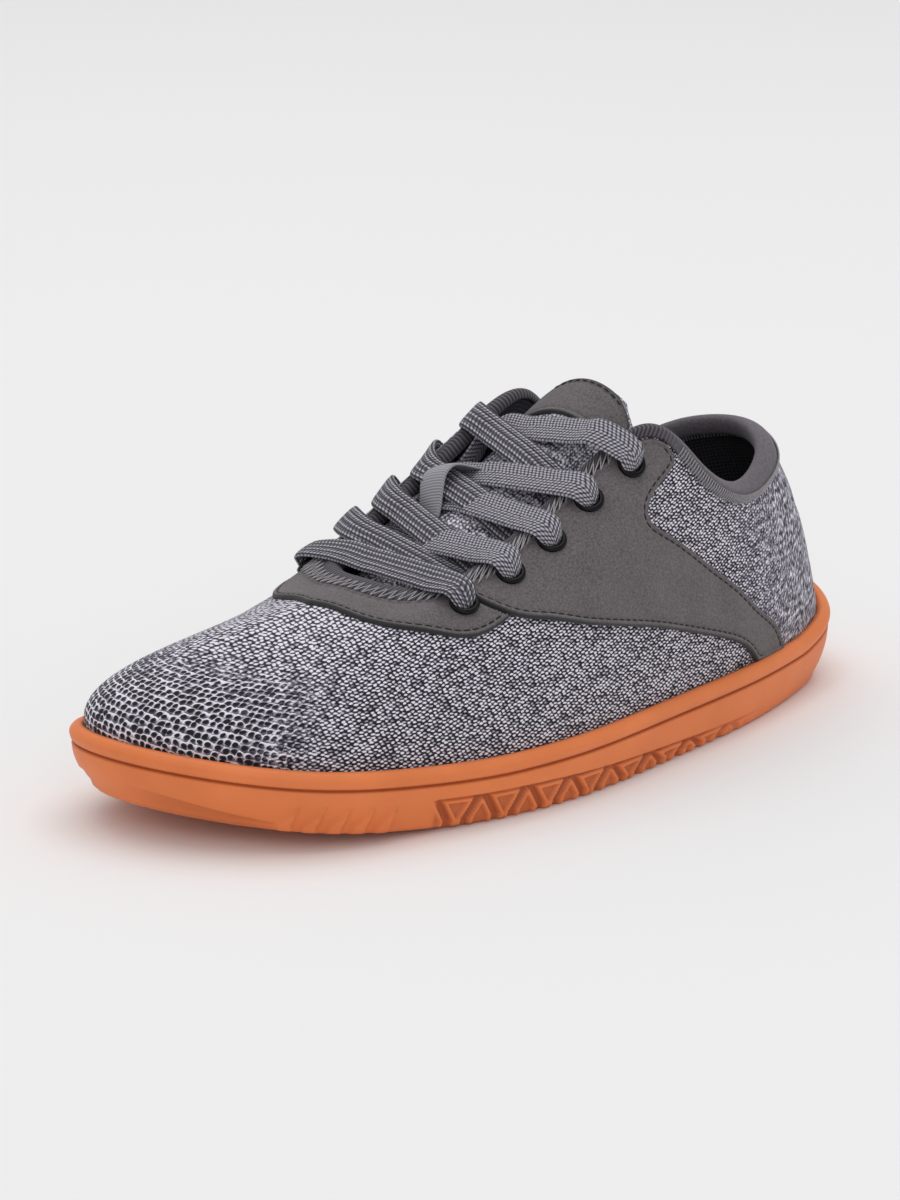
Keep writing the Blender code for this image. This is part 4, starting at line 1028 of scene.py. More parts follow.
def studio_paper(colours):
    """Seamless studio paper: pale, matt and very faintly uneven, in patches of a third of a metre."""
    return mottled("studio_paper", {"Roughness": 0.95}, 1 / 3, 2.0, colours.paper_shade, colours.paper)[0]


# Geometry Nodes trees


def group_tree(name, inputs):
    """A tree with a geometry in and out and named inputs."""
    tree = bpy.data.node_groups.new(name, "GeometryNodeTree")
    tree.interface.new_socket("Geometry", in_out="OUTPUT", socket_type="NodeSocketGeometry")
    tree.interface.new_socket("Geometry", in_out="INPUT", socket_type="NodeSocketGeometry")
    for label, kind in inputs:
        tree.interface.new_socket(label, in_out="INPUT", socket_type=kind)
    return tree, tree.nodes.new("NodeGroupInput")


def close_tree(tree, source, geometry):
    """Ends a tree in Realize Instances and Set Material."""
    real = node(tree, "GeometryNodeRealizeInstances", {0: geometry})
    painted = node(tree, "GeometryNodeSetMaterial",
                   {"Geometry": real, "Material": source.outputs["Material"]})
    node(tree, "NodeGroupOutput", {0: painted})
    return tree


def thread_tree():
    """Thread laid along every line of the input mesh."""
    tree, source = group_tree("thread_runs", (
        ("Radius", "NodeSocketFloat"), ("Material", "NodeSocketMaterial")))
    lines = node(tree, "GeometryNodeMeshToCurve", {0: source.outputs["Geometry"]})
    section = node(tree, "GeometryNodeCurvePrimitiveCircle",
                   {"Resolution": 6, "Radius": source.outputs["Radius"]})
    swept = node(tree, "GeometryNodeCurveToMesh",
                 {"Curve": lines, "Profile Curve": section, "Fill Caps": True})
    return close_tree(tree, source, swept)


def stitch_tree():
    """Lockstitches at an even pitch along every line of the input mesh."""
    tree, source = group_tree("stitch_rows", (
        ("Pitch", "NodeSocketFloat"), ("Length", "NodeSocketFloat"), ("Radius", "NodeSocketFloat"),
        ("Material", "NodeSocketMaterial")))
    lines = node(tree, "GeometryNodeMeshToCurve", {0: source.outputs["Geometry"]})
    spots = node(tree, "GeometryNodeCurveToPoints", {"Curve": lines, "Length": source.outputs["Pitch"]},
                 mode="LENGTH")
    half = node(tree, "ShaderNodeMath", {0: source.outputs["Length"], 1: 0.5}, operation="MULTIPLY")
    back = node(tree, "ShaderNodeMath", {0: half, 1: -1.0}, operation="MULTIPLY")
    start = node(tree, "ShaderNodeCombineXYZ", {0: back})
    end = node(tree, "ShaderNodeCombineXYZ", {0: half})
    core = node(tree, "GeometryNodeCurvePrimitiveLine", {"Start": start, "End": end})
    finer = node(tree, "GeometryNodeResampleCurve", {"Curve": core, "Count": 5})
    place_on = node(tree, "GeometryNodeSplineParameter")
    off = node(tree, "ShaderNodeMath", {0: place_on.outputs["Factor"], 1: 0.5}, operation="SUBTRACT")
    far = node(tree, "ShaderNodeMath", {0: off}, operation="ABSOLUTE")
    taper = node(tree, "ShaderNodeMapRange", {"Value": far, "From Min": 0.2, "From Max": 0.5, "To Min": 1.0,
                                              "To Max": 0.45})
    thick = node(tree, "ShaderNodeMath", {0: taper, 1: source.outputs["Radius"]}, operation="MULTIPLY")
    section = node(tree, "GeometryNodeCurvePrimitiveCircle", {"Resolution": 6, "Radius": 1.0})
    stitch = node(tree, "GeometryNodeCurveToMesh", {"Curve": finer, "Profile Curve": section, "Scale": thick,
                                                    "Fill Caps": True})
    aim = node(tree, "FunctionNodeAlignRotationToVector", {"Vector": spots.outputs["Tangent"]}, axis="X")
    copies = node(tree, "GeometryNodeInstanceOnPoints",
                  {"Points": spots, "Instance": stitch, "Rotation": aim})
    return close_tree(tree, source, copies)


def eyelet_tree():
    """A rolled ring with a barrel at every point of the input mesh, turned to the point's axis."""
    tree, source = group_tree("rolled_eyelets", (
        ("Ring Radius", "NodeSocketFloat"), ("Roll", "NodeSocketFloat"), ("Barrel Radius", "NodeSocketFloat"),
        ("Barrel", "NodeSocketFloat"), ("Material", "NodeSocketMaterial")))
    ring = node(tree, "GeometryNodeCurvePrimitiveCircle",
                {"Resolution": 40, "Radius": source.outputs["Ring Radius"]})
    roll = node(tree, "GeometryNodeCurvePrimitiveCircle",
                {"Resolution": 14, "Radius": source.outputs["Roll"]})
    rim = node(tree, "GeometryNodeCurveToMesh", {"Curve": ring, "Profile Curve": roll})
    round_bar = node(tree, "GeometryNodeCurvePrimitiveCircle",
                     {"Resolution": 40, "Radius": source.outputs["Barrel Radius"]})
    wall = node(tree, "GeometryNodeCurvePrimitiveQuadrilateral",
                {"Width": EYELET_WALL, "Height": source.outputs["Barrel"]})
    barrel = node(tree, "GeometryNodeCurveToMesh", {"Curve": round_bar, "Profile Curve": wall})
    drop = node(tree, "ShaderNodeMath", {0: source.outputs["Barrel"], 1: -0.5}, operation="MULTIPLY")
    low = node(tree, "ShaderNodeCombineXYZ", {2: drop})
    lowered = node(tree, "GeometryNodeTransform", {"Geometry": barrel, "Translation": low})
    whole = node(tree, "GeometryNodeJoinGeometry", {0: rim})
    tree.links.new(lowered.outputs[0], whole.inputs[0])
    axis = node(tree, "GeometryNodeInputNamedAttribute", {"Name": "axis"}, data_type="FLOAT_VECTOR")
    aim = node(tree, "FunctionNodeAlignRotationToVector", {"Vector": axis}, axis="Z")
    copies = node(tree, "GeometryNodeInstanceOnPoints",
                  {"Points": source.outputs["Geometry"], "Instance": whole, "Rotation": aim})
    real = node(tree, "GeometryNodeRealizeInstances", {0: copies})
    smooth = node(tree, "GeometryNodeSetShadeSmooth", {0: real})
    return close_tree(tree, source, smooth)


def grow(name, points, edges, tree, axis=None, **values):
    """Runs a tree over points and lines and keeps the plain mesh that it gives."""
    mesh = bpy.data.meshes.new(name)
    mesh.from_pydata([tuple(point) for point in points], edges, [])
    if axis is not None:
        layer = mesh.attributes.new("axis", "FLOAT_VECTOR", "POINT")
        layer.data.foreach_set("vector", np.ravel(axis).astype(np.float32))
    piece = add_object(name, mesh)
    modifier = piece.modifiers.new(name, "NODES")
    modifier.node_group = tree
    for socket in tree.interface.items_tree:
        key = socket.name.lower().replace(" ", "_")
        if socket.in_out == "INPUT" and key in values:
            modifier[socket.identifier] = values[key]
    make_plain(piece)
    piece.data.shade_smooth()
    return piece


def joined_lines(lines):
    """Points and edges of separate open lines."""
    points = np.concatenate(lines)
    edges = []
    first = 0
    for line in lines:
        edges += [(first + index, first + index + 1) for index in range(len(line) - 1)]
        first += len(line)
    return points, edges


# Pieces


def ring_run(columns, t):
    """Ring positions and their run round the upper, at a rib position."""
    s = np.arange(columns + 1) * RING_ROWS / columns
    run = run_lengths(skin(s, np.full_like(s, t), 0.0), 0)
    return s[:-1], run[:-1], run[-1]


def crease_depth(s, t, across, up):
    """Depth of the listed creases at points with their run round the ring and up the rib."""
    depth = np.zeros(np.broadcast_shapes(np.shape(s), np.shape(t)))
    columns = len(across)
    for crease in CREASES:
        column = int(round(crease.s / RING_ROWS * columns)) % columns
        row = np.argmin(np.abs(t[0] - crease.t))
        du = across[:, None] - across[column]
        whole = across[-1] + across[1]
        du = (du + 0.5 * whole) % whole - 0.5 * whole
        dv = up - up[column, row]
        turn = np.radians(crease.turn)
        along = (du * np.sin(turn) + dv * np.cos(turn)) / (crease.half_length * MM)
        over = (du * np.cos(turn) - dv * np.sin(turn)) / (crease.half_width * MM)
        depth += CREASE_SCALE * crease.depth * MM * np.exp(-along**2 - over**2)
    return depth


def knit_lines(points):
    """Wale and course numbers at points of the outer side: the wales climb toward the heel, ever steeper.

    The inner side takes the numbers of the outer side, so the knit is mirrored at the toe's middle.
    """
    facing = unit(np.array(KNIT_FACING))
    side = unit(np.cross((0.0, 0.0, 1.0), facing))
    right = points @ side / MM
    above = points @ np.cross(facing, side) / MM
    wale = (above - WALE_SLOPE * right - WALE_BEND * right**2) / WALE_RISE
    return wale, COURSES_RIGHT * right + COURSES_UP * above


def build_upper(knit, lining):
    columns = UPPER_COLUMNS
    s, across, whole = ring_run(columns, 0.35)
    t = np.concatenate([[-1.0, -0.5], np.linspace(0.0, 1.0, 60)])[None, :]
    ring = s[:, None]
    flat = skin(ring, t, 0.0)
    up = run_lengths(flat, 1)
    up = up - up[:, 2:3]
    fade = smooth_step(0.0, 0.12, t) * (1.0 - smooth_step(0.86, 0.97, t))
    outer = skin(ring, t, crease_depth(ring, t, across, up) * fade)
    inner_t = np.concatenate([np.linspace(1.0, 0.0, 24), [-0.5, -1.0]])[None, :]
    inner = skin(ring, inner_t, -UPPER_WALL)
    points = np.concatenate([outer, inner], axis=1)
    inner_up = run_lengths(inner, 1)
    chart = np.stack(np.broadcast_arrays(across[:, None], np.concatenate([up, inner_up], axis=1)), axis=-1)
    along = SHOE_LENGTH / 2.0 - points[..., 1]
    side = TOE_ROW - np.abs(ring - TOE_ROW)
    every_t = np.concatenate([t, inner_t], axis=1)
    wale, course = knit_lines(skin(side, every_t, 0.0))
    marks = {
        "toe": smooth_step(7.6, 8.9, side) * (1.0 - smooth_step(0.30, 0.62, every_t)),
        "heel": 1.0 - smooth_step(0.12, 0.30, along / SHOE_LENGTH),
        # light: painted light, paler on the top of the toe
        "light": smooth_step(7.4, 9.2, side) * smooth_step(0.35, 0.75, every_t),
        "wale": wale,
        "course": course,
    }
    rows = points.shape[1]
    faces = grid_faces(columns, rows, ring_rows=True, ring_columns=True)
    inside = np.tile(np.arange(rows) >= t.shape[1], columns).astype(np.int32)
    upper = make_piece("knit_upper", points, faces, [knit, lining], chart=chart, marks=marks,
                       finish_index=inside, round_trip=whole)
    cut_holes(upper, list(EYELET_FRAMES))
    return settle(upper, "grey_knit", "upper")


def binding_leg(s):
    """Length of the binding's legs below the edge: round the collar the roll hides part of the tape."""
    collar = 1.0 - smooth_step(3.0, 5.0, TOE_ROW - np.abs(np.asarray(s) % RING_ROWS - TOE_ROW))
    return rib_at(s).tape * (1.0 - COLLAR_TUCK * collar)


def build_binding(tape):
    columns = UPPER_COLUMNS
    s, across, whole = ring_run(columns, 0.98)
    rib = rib_at(s)
    leg_t = below_edge(s, binding_leg(s))
    half_t = below_edge(s, 0.5 * binding_leg(s))
    inner_t = below_edge(s, COLLAR_INNER * rib.tape)
    inside = -UPPER_WALL - TAPE_GAP
    outer = np.minimum(rib.roll, TAPE_OUTER)
    over = np.full_like(s, TAPE_GAP)
    knots = np.stack([
        skin(s, leg_t, TAPE_CLOSE),
        skin(s, leg_t, 0.6 * (TAPE_GAP + outer)),
        skin(s, half_t, TAPE_GAP + outer),
        edge_point(s, TAPE_GAP + outer, over - 0.3 * rib.roll),
        edge_point(s, -0.5 * UPPER_WALL, over + rib.roll),
        edge_point(s, inside - 0.5 * rib.roll, over - 0.3 * rib.roll),
        skin(s, inner_t, inside - 0.3 * rib.roll),
        skin(s, inner_t, -UPPER_WALL - TAPE_CLOSE),
    ])
    at = np.linspace(0.0, len(knots) - 1.0, 36)
    flat = knots.reshape(len(knots), -1)
    shell = spline(flat, spline_slopes(flat, closed=False), at, closed=False).reshape(len(at), columns, 3)
    shell = np.moveaxis(shell, 0, 1)
    under = np.stack([edge_point(s, -UPPER_WALL - TAPE_CLOSE, TAPE_CLOSE),
                      edge_point(s, TAPE_CLOSE, TAPE_CLOSE)], axis=1)
    points = np.concatenate([shell, under], axis=1)
    chart = np.stack(np.broadcast_arrays(across[:, None], run_lengths(points, 1)), axis=-1)
    side = TOE_ROW - np.abs(s - TOE_ROW)
    ribbed = np.broadcast_to(smooth_step(4.2, 5.0, side)[:, None], points.shape[:2])
    faces = grid_faces(columns, points.shape[1], ring_rows=True, ring_columns=True)
    binding = make_piece("collar_and_throat_binding", points, faces, [tape], chart=chart,
                         marks={"ribbed": ribbed}, round_trip=whole)
    settle(binding, "ribbed_elastic", "collar_binding")
    return binding


def saddle_grid(mirrored):
    return saddle_spots(edge_spacing(150)[:, None], edge_spacing(72)[None, :], mirrored)


def vamp_grid():
    share = np.linspace(0.0, 1.0, 80)[:, None]
    w = edge_spacing(44)[None, :]
    outer_s, outer_t = vamp_half(share, w, mirrored=False)
    inner_s, inner_t = vamp_half(share, w, mirrored=True)
    return np.concatenate([outer_s, inner_s[-2::-1]]), np.concatenate([outer_t, inner_t[-2::-1]])


def build_nubuck(nubuck):
    for side in ("lateral", "medial"):
        s, t = saddle_grid(side == "medial")
        saddle = rounded_sheet(f"nubuck_saddle_{side}", lambda depth: skin(s, t, depth), NUBUCK_BASE,
                               NUBUCK_THICK, nubuck, 1.0 * MM, rim=0.35 * MM, stitch_line=STITCH_INSET)
        cut_holes(saddle, [(side, index) for index in range(1, len(EYELETS))])
        settle(saddle, "grey_nubuck", f"saddle_{side}")
    s, t = vamp_grid()
    stay = rounded_sheet("nubuck_vamp_stay", lambda depth: skin(s, t, depth), NUBUCK_BASE,
                         NUBUCK_THICK - VAMP_THINNER, nubuck, 1.0 * MM, rim=0.15 * MM,
                         stitch_line=STITCH_INSET)
    cut_holes(stay, [("lateral", 0), ("medial", 0)])
    settle(stay, "grey_nubuck", "vamp_stay")
    v = FACING_START + (FACING_END - FACING_START) * edge_spacing(60)[:, None]
    w = FACING_HALF * (2.0 * edge_spacing(60)[None, :] - 1.0)
    facing = rounded_sheet("nubuck_tongue_facing", lambda depth: tongue_point(v, w, depth), FACING_BASE,
                           OVERLAY_GAP + FACING_THICKNESS - FACING_BASE, nubuck, 0.9 * MM,
                           stitch_line=STITCH_INSET)
    settle(facing, "grey_nubuck", "tongue_facing")


def build_tongue(knit):
    v = edge_spacing(110)[:, None]
    w = 2.0 * edge_spacing(64)[None, :] - 1.0
    tongue = rounded_sheet("knit_tongue", lambda depth: tongue_point(v, w, depth), -TONGUE_THICKNESS,
                           TONGUE_THICKNESS, knit, 1.5 * MM, chart=True)
    wale, course = knit_lines(np.array([vertex.co for vertex in tongue.data.vertices]))
    # The tongue takes half of the painted top light
    mark_points(tongue.data, {"toe": np.zeros_like(wale), "heel": np.full_like(wale, 0.55),
                              "light": np.full_like(wale, 0.5), "wale": wale, "course": course})
    return settle(tongue, "grey_knit", "tongue")


def build_keeper(webbing):
    """A webbing loop sewn to the tongue at both ends, arched over the laces that it keeps in place."""
    share = np.linspace(0.0, 1.0, 48)[:, None]
    v = KEEPER_START + (KEEPER_END - KEEPER_START) * share
    reach = 0.5 * KEEPER_WIDTH / (TONGUE[4].half * MM)
    w = KEEPER_OFF + reach * (2.0 * edge_spacing(16)[None, :] - 1.0)
    arch = KEEPER_ARCH * smooth_step(0.0, 0.5, share) * (1.0 - smooth_step(0.55, 1.0, share))
    keeper = rounded_sheet("webbing_lace_keeper", lambda depth: tongue_point(v, w, depth + arch), 0.2 * MM,
                           1.0 * MM, webbing, 0.5 * MM, chart=True)
    return settle(keeper, "light_webbing", "lace_keeper")


def build_eyelets(enamel):
    spots = [matrix.translation for matrix in EYELET_FRAMES.values()]
    axes = [matrix.col[2][:3] for matrix in EYELET_FRAMES.values()]
    eyelets = grow("enamelled_eyelets", spots, [], eyelet_tree(), axis=axes, ring_radius=EYELET_RING,
                   roll=EYELET_ROLL, barrel_radius=EYELET_TUBE, barrel=EYELET_LENGTH, material=enamel)
    nodes = [f"eyelet_{side}_{index + 1}" for side, index in EYELET_FRAMES]
    return settle(eyelets, "black_enamel", *nodes)


def edge_spot(side, index, s, sizes):
    """Spot over the binding, where a strap bends over the throat's edge on its way to an eyelet."""
    s = np.array(RING_ROWS - s if side == "medial" else s)
    out, past = edge_frame(s)
    up = unit(out + past)
    lift = TAPE_GAP + rib_at(s).roll + LACE_SLACK[side][index] * MM + 0.5 * sizes.lace_thickness
    return LaceSpot(upper_point(s, np.array(1.0)) + up * lift, up, 1.0, 1.0)


def straight_bend(index, start):
    """Ring position where the straight way from a point to an outer eyelet meets the throat's edge."""
    s = np.linspace(EYELETS[index].s - 0.4, EYELETS[index].s + 0.9, 131)
    way = np.array(EYELET_FRAMES["lateral", index].translation) - start
    off = upper_point(s, np.ones_like(s)) - start
    return float(s[np.argmin(np.abs(off[:, 0] * way[1] - off[:, 1] * way[0]))])


def eyelet_spots(side, index, toward, sizes):
    """Spots over an eyelet's rim on the way from a point, then down through its hole."""
    matrix = EYELET_FRAMES[side, index]
    axis = np.array(matrix.col[2][:3])
    centre = np.array(matrix.translation)
    way = toward - centre
    way = unit(way - axis * np.dot(way, axis))
    rise = EYELET_CROWN + 0.5 * sizes.lace_thickness
    return [LaceSpot(centre + way * spot.back * MM + axis * (rise * spot.over_rim + spot.out * MM),
                     unit(axis * spot.face_out - way * spot.face_on), spot.share, spot.puff)
            for spot in RIM_SPOTS]


# Grid over the tongue's face, with the directions out of it
TONGUE_V, TONGUE_W = np.meshgrid(np.linspace(0.0, 1.0, 121), np.linspace(-1.0, 1.0, 61), indexing="ij")
TONGUE_FACE = tongue_point(TONGUE_V, TONGUE_W, 0.0)
TONGUE_OUT = (tongue_point(TONGUE_V, TONGUE_W, MM) - TONGUE_FACE) / MM


def over_tongue(point):
    """Height of a point over the tongue and the direction out of the tongue there."""
    closest = np.unravel_index(np.argmin(np.linalg.norm(TONGUE_FACE - point, axis=-1)), TONGUE_V.shape)
    out = TONGUE_OUT[closest]
    return np.dot(point - TONGUE_FACE[closest], out), out


def taut_spots(start, end, layers, sizes, bend=None):
    """Spots of a strap pulled taut over the tongue and a bend, from a lower to an upper layer of laces."""
    share = np.linspace(0.0, 1.0, 25)
    line = start + (end - start) * share[:, None]
    heights, outs = zip(*(over_tongue(point) for point in line))
    up = unit(np.mean(outs, axis=0))
    layer = layers[0] + (layers[1] - layers[0]) * smooth_step(0.3, 0.7, share)
    lift = LACE_CLEAR + (0.5 + layer) * sizes.lace_thickness - np.array(heights)
    lift = np.maximum(lift / np.array([np.dot(out, up) for out in outs]), 0.0)
    lift[[0, -1]] = 0.0
    if bend is not None:
        edge = np.argmin(np.linalg.norm(line - bend, axis=1))
        lift[edge] = max(lift[edge], np.dot(bend - line[edge], up))
    spots = []
    for row in range(5, 21, 3):
        pulled = max(np.interp(share[row], share[[low, high]], lift[[low, high]])
                     for low in range(row + 1) for high in range(row, len(share)))
        spots.append(LaceSpot(line[row] + up * pulled, up, 1.0, 1.0))
    return spots


def turn_between(spot, before, after):
    """A bend's spot with its face turned half way between the spots before and after it."""
    return spot._replace(up=unit(before.up + after.up))


def strap_spots(side, index, sizes):
    """Spots of a strap: out of the far side's last eyelet, under that flap, over the tongue, into its own."""
    far = "medial" if side == "lateral" else "lateral"
    far_s = np.array(LACE_UNDER[side][index - 1])
    far_s = RING_ROWS - far_s if far == "medial" else far_s
    out = edge_frame(far_s)[0]
    start = upper_point(far_s, np.array(1.0)) - out * (UPPER_WALL + LACE_TUCK)
    bend = straight_bend(index, start) if side == "lateral" else LACE_BENDS[index]
    near = edge_spot(side, index, bend, sizes)
    matrix = EYELET_FRAMES[far, index - 1]
    axis = np.array(matrix.col[2][:3])
    hole = np.array(matrix.translation) - axis * LACE_FOOT
    spots = [LaceSpot(hole, axis, 0.5, 1.3),
             LaceSpot(0.5 * hole + 0.5 * start - axis * LACE_DIP, axis, 0.8, 1.0),
             LaceSpot(start, out, 0.95, 1.0)]
    entry = eyelet_spots(side, index, near.point, sizes)
    if side == "lateral":
        return spots + taut_spots(start, entry[0].point, LACE_LAYERS, sizes, near.point) + entry
    spots += taut_spots(start, near.point, LACE_LAYERS, sizes)
    return spots + [turn_between(near, spots[-1], entry[0])] + entry


def lace_strap(spots, sizes):
    """Points, faces and chart of a flat, puffy braid from spot to spot."""
    path = np.array([spot.point for spot in spots])
    run = run_lengths(path, 0)
    at = np.linspace(0.0, run[-1], LACE_SECTIONS)
    values = np.array([(*spot.point, *spot.up, spot.share, spot.puff) for spot in spots])
    rows = np.interp(at, run, np.arange(len(spots)))
    sampled = spline(values, spline_slopes(values, closed=False), rows, closed=False)
    line = sampled[:, :3]
    forward = unit(np.gradient(line, axis=0))
    across = unit(np.cross(forward, sampled[:, 3:6]))
    up = np.cross(across, forward)
    angle = np.linspace(0.0, 2.0 * pi, LACE_SIDES, endpoint=False)
    wide = np.sign(np.cos(angle)) * np.abs(np.cos(angle))**LACE_FLAT
    tall = np.sign(np.sin(angle)) * np.abs(np.sin(angle))**LACE_PUFF
    half = 0.5 * sizes.lace_width * sampled[:, 6:7] * wide
    thick = 0.5 * sizes.lace_thickness * sampled[:, 7:8] * tall
    points = line[:, None] + across[:, None] * half[..., None] + up[:, None] * thick[..., None]
    faces = [tuple(face) for face in grid_faces(LACE_SECTIONS, LACE_SIDES, ring_columns=True)]
    last = (LACE_SECTIONS - 1) * LACE_SIDES
    faces += [tuple(range(LACE_SIDES)), tuple(range(last, last + LACE_SIDES))]
    length = run_lengths(line, 0)[:, None]
    full = 0.5 * sizes.lace_width * wide[None, :]
    chart = np.stack(np.broadcast_arrays(length, full), axis=-1)
    return points.reshape(-1, 3), faces, chart.reshape(-1, 2)


def build_lace(braid, sizes):
    inner = edge_spot("medial", 0, LACE_BENDS[0], sizes)
    outer = edge_spot("lateral", 0, straight_bend(0, inner.point), sizes)
    entry = eyelet_spots("medial", 0, inner.point, sizes)
    leave = eyelet_spots("lateral", 0, outer.point, sizes)
    bar = taut_spots(inner.point, leave[0].point, LACE_LAYERS[1:] * 2, sizes, outer.point)
    bar = entry[::-1] + [turn_between(inner, entry[0], bar[0])] + bar + leave
    groups = [("lace_bar", [(bar, 1.0)])]
    for index in range(1, len(EYELETS)):
        groups.append((f"lace_crossing_{index + 1}", [(strap_spots("lateral", index, sizes), 0.0),
                                                      (strap_spots("medial", index, sizes), 1.0)]))
    for name, straps in groups:
        points, faces, chart, grooved = [], [], [], []
        for spots, groove in straps:
            first = sum(len(part) for part in points)
            more, more_faces, more_chart = lace_strap(spots, sizes)
            faces += [tuple(first + corner for corner in face) for face in more_faces]
            points.append(more)
            chart.append(more_chart)
            grooved.append(np.full(len(more), groove))
        lace = make_piece(f"braided_{name}", np.concatenate(points), faces, [braid],
                          chart=np.concatenate(chart), marks={"grooved": np.concatenate(grooved)})
        settle(lace, "flat_lace", name)


def inset_line(s, t, edge, inset):
    """Ring and rib positions at an inset from the line that a grid's rows start on."""
    points = skin(s, t, NUBUCK_BASE)
    distance = nearest(points, fine_line(points[:, 0] if edge == "first" else points[:, -1]))
    if edge == "last":
        s, t, distance = s[:, ::-1], t[:, ::-1], distance[:, ::-1]
    rows = []
    for row in range(len(s)):
        reach = int(np.argmax(distance[row] > inset)) + 1
        rows.append((np.interp(inset, distance[row, :reach], s[row, :reach]),
                     np.interp(inset, distance[row, :reach], t[row, :reach])))
    return np.array(rows).T


def sewn_across(reach, count, leg, down, depth):
    """Short stitches round the heel, across the line that leg gives below the collar's edge."""
    lines = []
    for start in np.linspace(-reach, reach, count):
        spot = np.full(len(down), start % RING_ROWS)
        t = below_edge(spot, leg(spot) + np.array(down) * MM)
        lines.append(skin(spot, t, depth))
    return lines


def build_stitches(dark, pale):
    rows = []
    lift = NUBUCK_BASE + NUBUCK_THICK - 0.28 * MM
    for mirrored in (False, True):
        s, t = saddle_grid(mirrored)
        for edge in ("first", "last"):
            line_s, line_t = inset_line(s[4:-3], t[4:-3], edge, STITCH_INSET)
            rows.append(skin(line_s, line_t, lift))
    s, t = vamp_grid()
    line_s, line_t = inset_line(s[3:-3], t[3:-3], "first", STITCH_INSET)
    rows.append(skin(line_s, line_t, lift - VAMP_THINNER))
    w = np.linspace(-1.0, 1.0, 60)
    top = FACING_END - 0.035 - 0.02 * w**4
    rows.append(tongue_point(top, 0.80 * FACING_HALF * w, OVERLAY_GAP + FACING_THICKNESS - 0.15 * MM))
    settle(grow("nubuck_stitches", *joined_lines(rows), stitch_tree(), pitch=STITCH_PITCH,
                length=STITCH_LENGTH, radius=STITCH_RADIUS, material=dark), "grey_nubuck")

    # Zigzag over the tape's lower edge round the throat
    s = np.linspace(5.2, RING_ROWS - 5.2, 961)
    run = run_lengths(skin(s, below_edge(s, rib_at(s).tape), 0.0), 0)
    turns = np.arange(0.0, run[-1] / ZIGZAG_PITCH, 0.125)
    s = np.interp(turns * ZIGZAG_PITCH, run, s)
    swing = 2.0 * np.abs(turns % 1.0 - 0.5)
    t = below_edge(s, rib_at(s).tape * (1.0 - 0.5 * swing) + ZIGZAG_DROP * (1.0 - swing))
    zigzag = skin(s, t, OVERLAY_GAP + OVERLAY_THICKNESS + 0.5 * MM)
    # Overlock across the tape's lower edge round the collar, and pale stitches below the roll, on the lining
    overlock = sewn_across(4.4, 190, binding_leg, (0.7, -0.5, -1.8), np.array([0.2, 1.6, 2.4]) * MM)
    lining = sewn_across(3.6, 110, lambda spot: COLLAR_INNER * rib_at(spot).tape, (0.2, 3.0),
                         -UPPER_WALL - 0.3 * MM)
    threads = thread_tree()
    for name, lines, radius, slot in (("throat_zigzag", [zigzag], ZIGZAG_RADIUS, "ribbed_elastic"),
                                      ("collar_overlock", overlock, OVERLOCK_RADIUS, "ribbed_elastic"),
                                      ("lining_stitches", lining, LINING_RADIUS, "dark_sock_lining")):
        settle(grow(name, *joined_lines(lines), threads, radius=radius, material=pale), slot)


def wall_out(s, height):
    """How far the sole's wall stands out from the upper's foot line at a height over its underside."""
    rib = rib_at(s)
    wall = lip_height(rib.along) - toe_spring(rib.along) - BEAD_DEPTH
    return BEAD_OUT - WALL_BACK - rib.tuck * (1.0 - np.clip(height / wall, 0.0, 1.0))**2


def inside_triangle(x, height, corners):
    """Distance inside a triangle's nearest side, negative outside it."""
    found = None
    turn = np.sign((corners[1][0] - corners[0][0]) * (corners[2][1] - corners[0][1])
                   - (corners[1][1] - corners[0][1]) * (corners[2][0] - corners[0][0]))
    for (ax, ay), (bx, by) in zip(corners, corners[1:] + corners[:1]):
        length = np.hypot(bx - ax, by - ay)
        side = turn * ((bx - ax) * (height - ay) - (by - ay) * (x - ax)) / length
        found = side if found is None else np.minimum(found, side)
    return found


